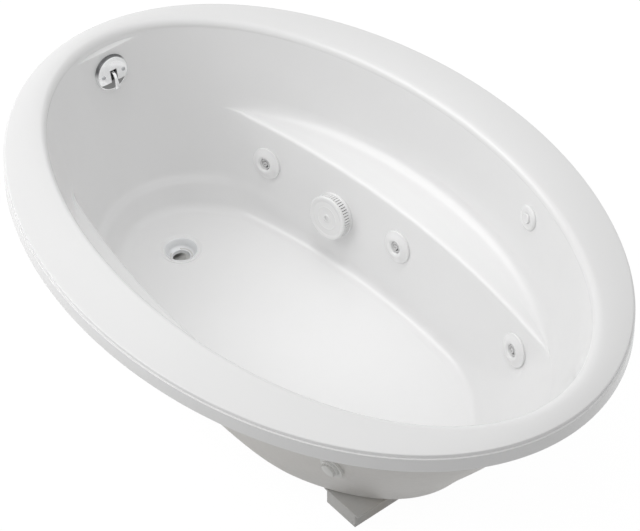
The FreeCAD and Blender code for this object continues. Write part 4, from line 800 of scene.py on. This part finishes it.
def outer_column(turn, sizes):
    """The outside of the shell at one angle, from under the rim down to the middle of the base."""
    skin = functools.partial(wall, turn, sizes=sizes, outside=True)
    under = Vector((*on_oval((HALF_LENGTH - 10, HALF_LENGTH - 10, HALF_WIDTH - 10), turn), RIM_UNDER))
    top = skin(RIM_UNDER)
    column = [under.lerp(top, k / 4) for k in range(3)]
    column += bend(under, top, skin(470), 7, 4)
    ledge = LEDGE - sizes.wall / MM
    column += [skin(z) for z in steps_between(462, ledge + 18, 12)]
    column += ledge_rows(skin, ledge, 12, 8, (4, 4, 4))
    around, middle = foot_rows(skin, BASE, sizes, 6)
    column += [skin(z) for z in steps_between(ledge - 16, around[0].z + 8, 15)]
    lip = Vector((*on_oval(BASE_LIP, turn), BASE))
    roof = Vector((lip.x, lip.y, ROOF))
    centre = Vector((sum(FLOOR_LINE) / 2, 0, ROOF))
    return column + around + [around[-1].lerp(lip, 0.5), lip, roof, roof.lerp(centre, 0.5)]


def seats():
    """Each fitting's frame, with the radii of its seat and its hole, and the thickness of the wall there."""
    jets = [(seat, 38, 21, 12) for seat in JET_SEATS.values()]
    return jets + [(SUCTION_SEAT, 50, 30.5, 13), (SWITCH_SEAT, 29, 17, 10)]


def flattened(spot, places, back):
    """Presses a point of the wall onto the flat seat of any fitting that it belongs to."""
    for undo, matrix, radius, thickness in places:
        local = undo @ spot
        away = local.xy.length / MM
        if away < radius + SEAT_FADE and abs(local.z) < SEAT_DEPTH * MM:
            goal = min(local.z, -thickness * MM) if back else 0
            local.z += (goal - local.z) * soft_step(away, radius + SEAT_FADE / 2, SEAT_FADE / 2)
            return matrix @ local
    return spot


def shell_columns(sizes):
    """The points at each angle, in the order in which the skin grows: inside, rim and outside."""
    places = [(matrix.inverted(), matrix, radius, thickness) for matrix, radius, _, thickness in seats()]
    columns = []
    for i in range(sizes.around):
        turn = math.tau * i / sizes.around
        inside = [flattened(p * MM, places, False) for p in reversed(inner_column(turn, sizes))]
        rim = [p * MM for p in reversed(rim_column(turn, sizes))]
        outside = [flattened(p * MM, places, True) for p in outer_column(turn, sizes)]
        columns.append((inside, rim, outside))
    return columns


def shell_mesh(sizes):
    """The whole shell as one closed skin, grown ring by ring from the middle of the floor."""
    count = sizes.around
    columns = shell_columns(sizes)
    bm = bmesh.new()
    order = bm.verts.layers.int.new("order")
    bmesh.ops.create_circle(bm, cap_ends=False, radius=0.01, segments=count)
    ring = list(bm.verts)
    for v in ring:
        v[order] = round(math.atan2(v.co.y, v.co.x) / math.tau * count) % count
    if len({v[order] for v in ring}) != count:
        raise RuntimeError("the first ring has no even spread")
    edges = list(bm.edges)
    rows = [(part, row) for part in range(3) for row in range(len(columns[0][part]))]
    for part, row in rows:
        if (part, row) != rows[0]:
            grown = bmesh.ops.extrude_edge_only(bm, edges=edges)["geom"]
            ring = [g for g in grown if isinstance(g, bmesh.types.BMVert)]
            edges = ring_edges(grown)
            for face in (g for g in grown if isinstance(g, bmesh.types.BMFace)):
                face.material_index = 1 if part == 2 else 0
        for v in ring:
            v.co = columns[v[order]][part][row]
    caps = bmesh.ops.holes_fill(bm, edges=[e for e in bm.edges if e.is_boundary], sides=0)["faces"]
    for face in caps:
        for middle in bmesh.ops.poke(bm, faces=[face])["verts"]:
            if middle.co.z < (ROOF + 4) * MM:
                for near in middle.link_faces:
                    near.material_index = 1
    bmesh.ops.remove_doubles(bm, verts=bm.verts, dist=2e-5)
    bmesh.ops.recalc_face_normals(bm, faces=bm.faces)
    return bm


def ring_edges(grown):
    """The edges of the newest ring: those whose two ends are both new."""
    fresh = {g for g in grown if isinstance(g, bmesh.types.BMVert)}
    return [g for g in grown if isinstance(g, bmesh.types.BMEdge) and all(v in fresh for v in g.verts)]


def shell_openings():
    """All the holes of the shell as one cutting tool."""
    tool = bmesh.new()
    for matrix, _, hole, thickness in seats():
        added(tool, rod(hole, -4 * thickness, thickness, 64), matrix)
    added(tool, turned([(0, -60, 0), (47, -60, 0), (47, -8, 0), (33, -8, 0), (33, 20, 0), (0, 20, 0)], 96),
          OVERFLOW_SEAT)
    added(tool, block((DRAIN_X - 200, -26.5, 30), (DRAIN_X - 40, 26.5, ROOF)))
    dish = FLOOR - 3
    drain = turned([(0, 0, 0), (36, 0, 0), (36, dish, 0), (42.5, dish, 1.2), (48.5, FLOOR + 0.4, 0),
                    (0, FLOOR + 0.4, 0)], 96)
    return added(tool, drain, shift(x=DRAIN_X))


class TUB_OT_shell(bpy.types.Operator):
    """Builds the shell: the bowl with its ledges, the rolled rim and the resin-backed outside"""

    bl_idname = "tub.shell"
    bl_label = "Shell"

    def execute(self, context):
        shell = cut(shell_mesh(context.scene.tub_shell), shell_openings())
        piece("bathtub_shell", shell, "tub_shell", "tub", "shell_white", ("shell_white", "shell_back"), 28)
        return {"FINISHED"}


# -------------------- fittings in the wall

PLUGGED_JET = 6
PLUG_FROM = -21


def jet_ring():
    """The turning trim of a jet: a broad low cone with a rolled lip."""
    return turned([
        (37.5, 0.3, 0), (37.5, 4.4, 1.8), (33, 5.2, 0.8), (21.5, 10.2, 1.6), (17.5, 10.4, 1.4),
        (13.2, 7.6, 0.8), (13.2, -5, 0), (17, -5, 0), (17, 4.8, 0), (30.3, 4.8, 0), (30.3, 0.3, 0),
    ], 96)


def jet_nozzle():
    """The eyeball of a jet: a shallow cup, a narrow tube in the middle and three webs that hold it."""
    ball = turned([
        (0, -8.6, 0), (9.4, -8.6, 0.6), (12.7, -2.6, 1.6), (12.85, 1.2, 1.6), (11.9, 5.2, 1.2),
        (10.6, 7.6, 0.5), (9.5, 7.4, 0.4), (8.8, 2.0, 0.5), (8.2, -6.5, 0), (5.0, -6.5, 0),
        (5.0, 7.0, 0.4), (4.4, 8.2, 0.5), (3.0, 8.2, 0.5), (2.6, -4.5, 0), (0, -4.5, 0),
    ], 64)
    for number in range(3):
        web = block((4.6, -0.8, -6), (9.3, 0.8, 5.2), 0.25)
        added(ball, web, Matrix.Rotation(math.tau * number / 3 + 0.5, 4, "Z"))
    return ball


def plugged_body(node, seat):
    """A jet's body whose far end is closed with a ribbed plug."""
    base = PLUG_FROM
    body = shortened(merged(node), seat, base, False)
    plug = turned([
        (0, base + 1, 0), (19.5, base + 1, 0), (19.5, base - 2, 0.8), (15.5, base - 3, 0.5),
        (14.2, base - 9, 1.6), (0, base - 10, 0),
    ], 64)
    for number in range(12):
        rib = block((13, -1.1, base - 8), (16.6, 1.1, base - 2), 0.5)
        added(plug, rib, Matrix.Rotation(math.tau * number / 12, 4, "Z"))
    return added(body, plug, seat)


class TUB_OT_jets(bpy.types.Operator):
    """Builds the six jets: trims, nozzles and bodies, the last one plugged"""

    bl_idname = "tub.jets"
    bl_label = "Jets"

    def execute(self, context):
        for n, seat in JET_SEATS.items():
            ring = moved(jet_ring(), seat)
            piece(f"jet_trim_{n}", ring, f"jet_trim_ring_{n}", f"ring_{n}", "trim_white", crease=40)
            ball = moved(jet_nozzle(), seat)
            piece(f"jet_eyeball_{n}", ball, f"jet_nozzle_{n}", f"nozzle_{n}", "nozzle_grey", crease=40)
            node = f"jet_body_{n}"
            if n == PLUGGED_JET:
                piece(f"{node}_finished", plugged_body(node, seat), node, "tub", "fitting_white", crease=32)
            else:
                finished_copy(node, "fitting_white")
        return {"FINISHED"}


def suction_cover():
    """The suction cover: a domed drum with fine rings on its face and slots round its side."""
    cover = turned([
        (49, 0.3, 0), (52, 0.3, 0.6), (52, 3.2, 0.8), (50.4, 4.2, 0.5), (50.4, 24.4, 0.4),
        (51.7, 25.2, 0.8), (51.3, 27.6, 1.2), (48, 29, 1.2), (42.4, 28.6, 0.5), (39.8, 27.4, 0.8),
        (35, 27.9, 0), (28.2, 27.6, 0.5), (26.6, 28.4, 0.5), (25.2, 27.5, 0.5), (17, 27.4, 0),
        (10, 27.2, 0.8), (8.2, 28.8, 0.8), (5.3, 28.9, 0.3), (5.3, 25.7, 0), (2.7, 25.7, 0),
        (2.7, 6.4, 0), (7.6, 6.4, 0), (8, 23.5, 0), (49, 23.5, 0),
    ], 168)
    slots = bmesh.new()
    for number in range(48):
        slot = block((46, -0.9, 7), (54, 0.9, 22))
        added(slots, slot, Matrix.Rotation(math.tau * number / 48, 4, "Z"))
    return cut(cover, slots)


def slotted_head(radius, height):
    """A screw head with a straight slot, standing on the Z axis."""
    head = turned([(0, 0, 0), (radius, 0, 0), (radius, height * 0.55, 0.6), (0, height, 0)], 40)
    return cut(head, block((-radius - 1, -0.65, height * 0.45), (radius + 1, 0.65, height + 1)))


class TUB_OT_suction(bpy.types.Operator):
    """Builds the suction fitting's cover and screw"""

    bl_idname = "tub.suction"
    bl_label = "Suction fitting"

    def execute(self, context):
        piece("suction_grille", moved(suction_cover(), SUCTION_SEAT), "suction_cover", "tub", "trim_white")
        screw = moved(slotted_head(4.9, 2.6), shift(z=25.8))
        added(screw, rod(2.4, 3, 26.2))
        screw = moved(screw, SUCTION_SEAT)
        piece("suction_cover_screw", screw, "suction_screw", "tub", "steel", ("trim_white",))
        for node in ("suction_body", "suction_lock_nut"):
            finished_copy(node, "fitting_white")
        return {"FINISHED"}


class TUB_OT_air_switch(bpy.types.Operator):
    """Builds the air switch's bezel and button"""

    bl_idname = "tub.air_switch"
    bl_label = "Air switch"

    def execute(self, context):
        bezel = turned([
            (22.05, 0, 0), (27.5, 0, 0.4), (27.5, 2.4, 1.4), (22.5, 5.2, 1.2), (14.6, 6, 0.8), (11.6, 5, 0.6),
            (11.6, 1.5, 0), (22.05, 1.5, 0),
        ], 96)
        piece("air_switch_bezel", moved(bezel, SWITCH_SEAT), "switch_bezel", "tub", "trim_white")
        button = turned([
            (0, -8, 0), (13, -8, 0), (13, 1.1, 0), (11.2, 1.1, 0), (11.2, 7.4, 1.0), (9.4, 8.5, 0.6),
            (6.6, 7.8, 1.0), (0, 7.5, 0),
        ])
        piece("air_switch_button", moved(button, SWITCH_SEAT), "switch_button", "button", "trim_white")
        for node in ("switch_body", "switch_nut"):
            finished_copy(node, "fitting_white")
        return {"FINISHED"}


class TUB_OT_drain(bpy.types.Operator):
    """Builds the drain flange with its deep cup"""

    bl_idname = "tub.drain"
    bl_label = "Drain"

    def execute(self, context):
        dish = FLOOR - 3
        cup = dish - 18.5
        flange = turned([
            (20, dish - 28, 0), (22.5, dish - 28, 0), (22.5, cup - 2, 0), (32.5, cup - 2, 0),
            (32.5, dish - 8, 0), (35.4, dish - 5.5, 0), (35.4, dish, 0), (38, dish, 0), (38, dish + 1.6, 0.7),
            (37.2, dish + 2.5, 0.4), (36.4, dish + 2.3, 0.4), (34.4, dish - 0.5, 0.8), (31, dish - 10, 1.5),
            (30.4, cup + 4, 2.5), (26, cup, 2.0), (20, cup - 0.4, 0.6),
        ], 96)
        piece("drain_cup", moved(flange, shift(x=DRAIN_X)), "drain_flange", "tub", "drain_metal")
        return {"FINISHED"}


SCREW_SIDE = 26


def overflow_dome():
    """The domed plate: a hood open below, a slot for the lever with painted black shade behind it, and two
    screw holes.
    """
    dome = turned([
        (42, 0, 0), (42, 1.6, 0.5), (41, 2.4, 0.5), (40.2, 7.2, 1.4), (37.2, 8.6, 1.4), (29, 9.8, 2.0),
        (16, 10.7, 2.0), (0, 11, 0), (0, 9.2, 0), (16, 8.9, 0), (29, 8.0, 0), (36.6, 6.8, 0), (38.6, 5.6, 0),
        (38.8, 0, 0),
    ], 128)
    back = turned([(6.5, 0.1, 0), (38.6, 0.1, 0), (38.6, 1.7, 0), (6.5, 1.7, 0)], 96)
    for face in back.faces:
        face.material_index = 1
    dome = cut(dome, block((-43, -43, 2.45), (43, -19, 13)))
    dome = cut(dome, block((-8.6, -19, 1), (8.6, 9.5, 13)))
    for side in (SCREW_SIDE, -SCREW_SIDE):
        dome = cut(dome, moved(rod(2.7, -1, 14, 32), shift(x=side)))
    return added(dome, back)


def lever_handle():
    """The trip lever: a thumb piece that widens towards its end, on a barrel."""
    bm = bmesh.new()
    outline = [
        (3.2, 4.6), (2.6, 9.4), (-1.0, 15.6), (-9, 18.0), (-24, 18.4), (-35.5, 17.4),
        (-38.2, 15.8), (-36.5, 14.4), (-24, 14.8), (-11, 14.2), (-4.6, 11.2), (-3.2, 5.0),
    ]
    face = bm.faces.new([bm.verts.new((-3.3 * MM, y * MM, z * MM)) for y, z in outline])
    grown = bmesh.ops.extrude_face_region(bm, geom=[face])["geom"]
    bmesh.ops.translate(bm, vec=(6.6 * MM, 0, 0), verts=[g for g in grown if isinstance(g, bmesh.types.BMVert)])
    for v in bm.verts:
        away = min(max((-v.co.y / MM - 6) / 30, 0), 1)
        v.co.x *= 1 + 0.9 * away ** 1.3
    bmesh.ops.recalc_face_normals(bm, faces=bm.faces)
    rounded(bm, bm.edges, 0.7)
    return added(bm, rod(4.2, -3.3, 3.3, 40), shift(z=5) @ Matrix.Rotation(math.pi / 2, 4, "Y"))


class TUB_OT_overflow(bpy.types.Operator):
    """Builds the overflow plate, its screws and the trip lever"""

    bl_idname = "tub.overflow"
    bl_label = "Overflow and lever"

    def execute(self, context):
        dome = moved(overflow_dome(), OVERFLOW_SEAT)
        piece("overflow_hood", dome, "overflow_plate", "tub", "chrome", ("hood_chrome", "hood_inside"), 30)
        screws = bmesh.new()
        for side in (1, -1):
            screw = moved(slotted_head(4.6, 2.6), shift(z=9.6))
            added(screw, rod(2.4, -14, 10.2, 32))
            spot = shift(x=side * SCREW_SIDE) @ Matrix.Rotation(0.6 * side + 0.3, 4, "Z")
            added(screws, screw, OVERFLOW_SEAT @ spot)
        piece("overflow_plate_screws", screws, "overflow_screws", "tub", "chrome", ("steel",))
        lever = moved(lever_handle(), OVERFLOW_SEAT)
        added(lever, shortened(merged("trip_lever"), OVERFLOW_SEAT, 0.5, True))
        piece("trip_lever_handle", lever, "trip_lever", "lever", "chrome")
        return {"FINISHED"}


# -------------------- behind the wall

COPIED = {
    "pipe_white": ("drain_shoe", "overflow_elbow", "overflow_tube", "drain_pipe", "waste_tee", "slip_nuts",
                   "tailpiece", "suction_pipe"),
    "fitting_white": ("jet_lock_nuts", "drain_plunger"),
    "rubber_black": ("jet_gaskets", "fitting_gaskets"),
    "steel": ("linkage_rod", "motor_shaft"),
    "pump_black": ("pump_volute", "pump_back_plate", "union_nuts"),
    "impeller_plastic": ("pump_impeller", "motor_fan"),
    "motor_paint": ("motor_housing", "fan_cover"),
    "bracket_steel": ("pump_bracket",),
    "hose_clear": ("switch_tube",),
}
MANIFOLD_ENDS = {"water_manifold": 300, "air_manifold": 168}


class TUB_OT_plumbing(bpy.types.Operator):
    """Gives the waste, the manifolds and the pump smooth faces and their finishes"""

    bl_idname = "tub.plumbing"
    bl_label = "Plumbing and pump"

    def execute(self, context):
        for slot, nodes in COPIED.items():
            for node in nodes:
                finished_copy(node, slot)
        for node, end in MANIFOLD_ENDS.items():
            header = cut(merged(node), block((end, -450, 130), (480, -190, 330)))
            piece(f"{node}_finished", header, node, "tub", "pipe_white", crease=32)
        return {"FINISHED"}


class TUB_OT_base(bpy.types.Operator):
    """Gives the base board and the feet eased edges and their finishes"""

    bl_idname = "tub.base"
    bl_label = "Base and feet"

    def execute(self, context):
        finished_copy("base_board", "base_wood", 0.8)
        for node in ("drain_end_foot", "backrest_end_foot", "foot_plates"):
            finished_copy(node, "foot_grey", 0.8)
        return {"FINISHED"}


# -------------------- stage

# Each lamp's name, place, aim and size, in metres.
LAMPS = (
    ("key", (-2.5, -3.0, 3.1), (0, 0, 0.3), 4.0),
    ("top", (0.0, 0.2, 3.8), (0, 0, 0.3), 3.2),
    ("low", (-4.0, -1.7, 0.6), (0, 0, 0.2), 1.0),
    ("bowl", (-0.1, -0.1, 4.2), (-0.05, 0.02, 0.1), 0.3),
)
# The camera that took the photograph: its direction, its distance and its offset from the tub's middle.
AZIMUTH = math.radians(50.17)
ELEVATION = math.radians(43.48)
DISTANCE = 5.0071
SIDEWAYS = 0.022525
LOWERED = 0.117043


def make_floor():
    """The pale floor, plain white where it is seen, that keeps a part of the shadow."""
    floor = bmesh.new()
    bmesh.ops.create_grid(floor, x_segments=2, y_segments=2, size=28)
    ground = as_object("studio_floor", moved(floor, shift(z=-0.5)))
    paint = Paint("floor_paint", Roughness=0.9)
    paint.feed("Base Color", paint.mix(paint.noise(0.5), (0.50, 0.50, 0.50), (0.52, 0.52, 0.52)))
    glow = paint.add("Emission", {}, {"Color": (1, 1, 1, 1), "Strength": 1.08})
    blend = paint.add("MixShader", {}, {0: paint.seen() * 0.9, 1: paint.surface, 2: glow})
    paint.tree.links.new(blend.socket, paint.output.inputs["Surface"])
    ground.data.materials.append(paint.material)


def make_room(scene, strength):
    """The even light all round, plain white where it is seen."""
    world = bpy.data.worlds.new("studio_room")
    world.use_nodes = True
    room = Nodes(world.node_tree)
    light = room.add("Background", {}, {"Color": (1.0, 0.998, 0.995, 1), "Strength": strength})
    white = room.add("Background", {}, {"Color": (1, 1, 1, 1), "Strength": 1.0})
    room.add("OutputWorld", {}, {"Surface": room.add("MixShader", {}, {0: room.seen(), 1: light, 2: white})})
    scene.world = world


def make_lamps(scene, settings):
    """The soft lamps, and a narrow one over the bowl."""
    for name, spot, goal, size in LAMPS:
        data = bpy.data.lights.new(f"{name}_lamp", "SPOT" if name == "bowl" else "AREA")
        if name == "bowl":
            data.spot_size = math.radians(14.5)
            data.spot_blend = 1.0
            data.shadow_soft_size = size
        else:
            data.shape = "DISK"
            data.size = size
        data.energy = getattr(settings, f"{name}_power")
        lamp = bpy.data.objects.new(f"{name}_lamp", data)
        aim = (Vector(goal) - Vector(spot)).to_track_quat("-Z", "Y")
        lamp.matrix_world = Matrix.Translation(spot) @ aim.to_matrix().to_4x4()
        lamp.visible_glossy = name == "key"
        scene.collection.objects.link(lamp)


def make_camera(scene, lens):
    """The camera at the photograph's angle."""
    level = math.cos(ELEVATION)
    back = Vector((math.sin(AZIMUTH) * level, -math.cos(AZIMUTH) * level, math.sin(ELEVATION)))
    right = Vector((math.cos(AZIMUTH), math.sin(AZIMUTH), 0))
    up = back.cross(right)
    spot = back * DISTANCE + right * SIDEWAYS - up * LOWERED + Vector((0, 0, 0.5))
    data = bpy.data.cameras.new("camera")
    data.sensor_width = 36
    data.lens = lens
    data.clip_end = 60
    camera = bpy.data.objects.new("camera", data)
    camera.matrix_world = Matrix.Translation(spot) @ Matrix((right, up, back)).transposed().to_4x4()
    scene.collection.objects.link(camera)
    scene.camera = camera


class TUB_OT_stage(bpy.types.Operator):
    """Sets the floor, the lamps, the room light and the camera"""

    bl_idname = "tub.stage"
    bl_label = "Stage"

    def execute(self, context):
        scene = context.scene
        make_floor()
        make_room(scene, scene.tub_stage.room_light)
        make_lamps(scene, scene.tub_stage)
        make_camera(scene, scene.tub_stage.lens)
        scene.view_settings.view_transform = "Standard"
        return {"FINISHED"}


# -------------------- panel and registration


class TUB_PT_panel(bpy.types.Panel):
    """Lists the steps that build the tub"""

    bl_idname = "TUB_PT_panel"
    bl_label = "Jetted bathtub"
    bl_space_type = "VIEW_3D"
    bl_region_type = "UI"
    bl_category = "Bathtub"

    def draw(self, context):
        for settings in (context.scene.tub_shell, context.scene.tub_finishes, context.scene.tub_stage):
            box = self.layout.box()
            for name in settings.__annotations__:
                box.prop(settings, name)
        for step in STEPS:
            self.layout.operator(step.bl_idname)


STEPS = (
    TUB_OT_shell, TUB_OT_jets, TUB_OT_suction, TUB_OT_air_switch, TUB_OT_drain, TUB_OT_overflow,
    TUB_OT_plumbing, TUB_OT_base, TUB_OT_stage,
)
CLASSES = (ShellSizes, Finishes, StageSettings, *STEPS, TUB_PT_panel)


def register():
    for one in CLASSES:
        bpy.utils.register_class(one)
    bpy.types.Scene.tub_shell = bpy.props.PointerProperty(type=ShellSizes)
    bpy.types.Scene.tub_finishes = bpy.props.PointerProperty(type=Finishes)
    bpy.types.Scene.tub_stage = bpy.props.PointerProperty(type=StageSettings)


def unregister():
    del bpy.types.Scene.tub_stage
    del bpy.types.Scene.tub_finishes
    del bpy.types.Scene.tub_shell
    for one in reversed(CLASSES):
        bpy.utils.unregister_class(one)


def main():
    register()
    for step in STEPS:
        group, name = step.bl_idname.split(".")
        getattr(getattr(bpy.ops, group), name)()


if __name__ == "__main__":
    main()
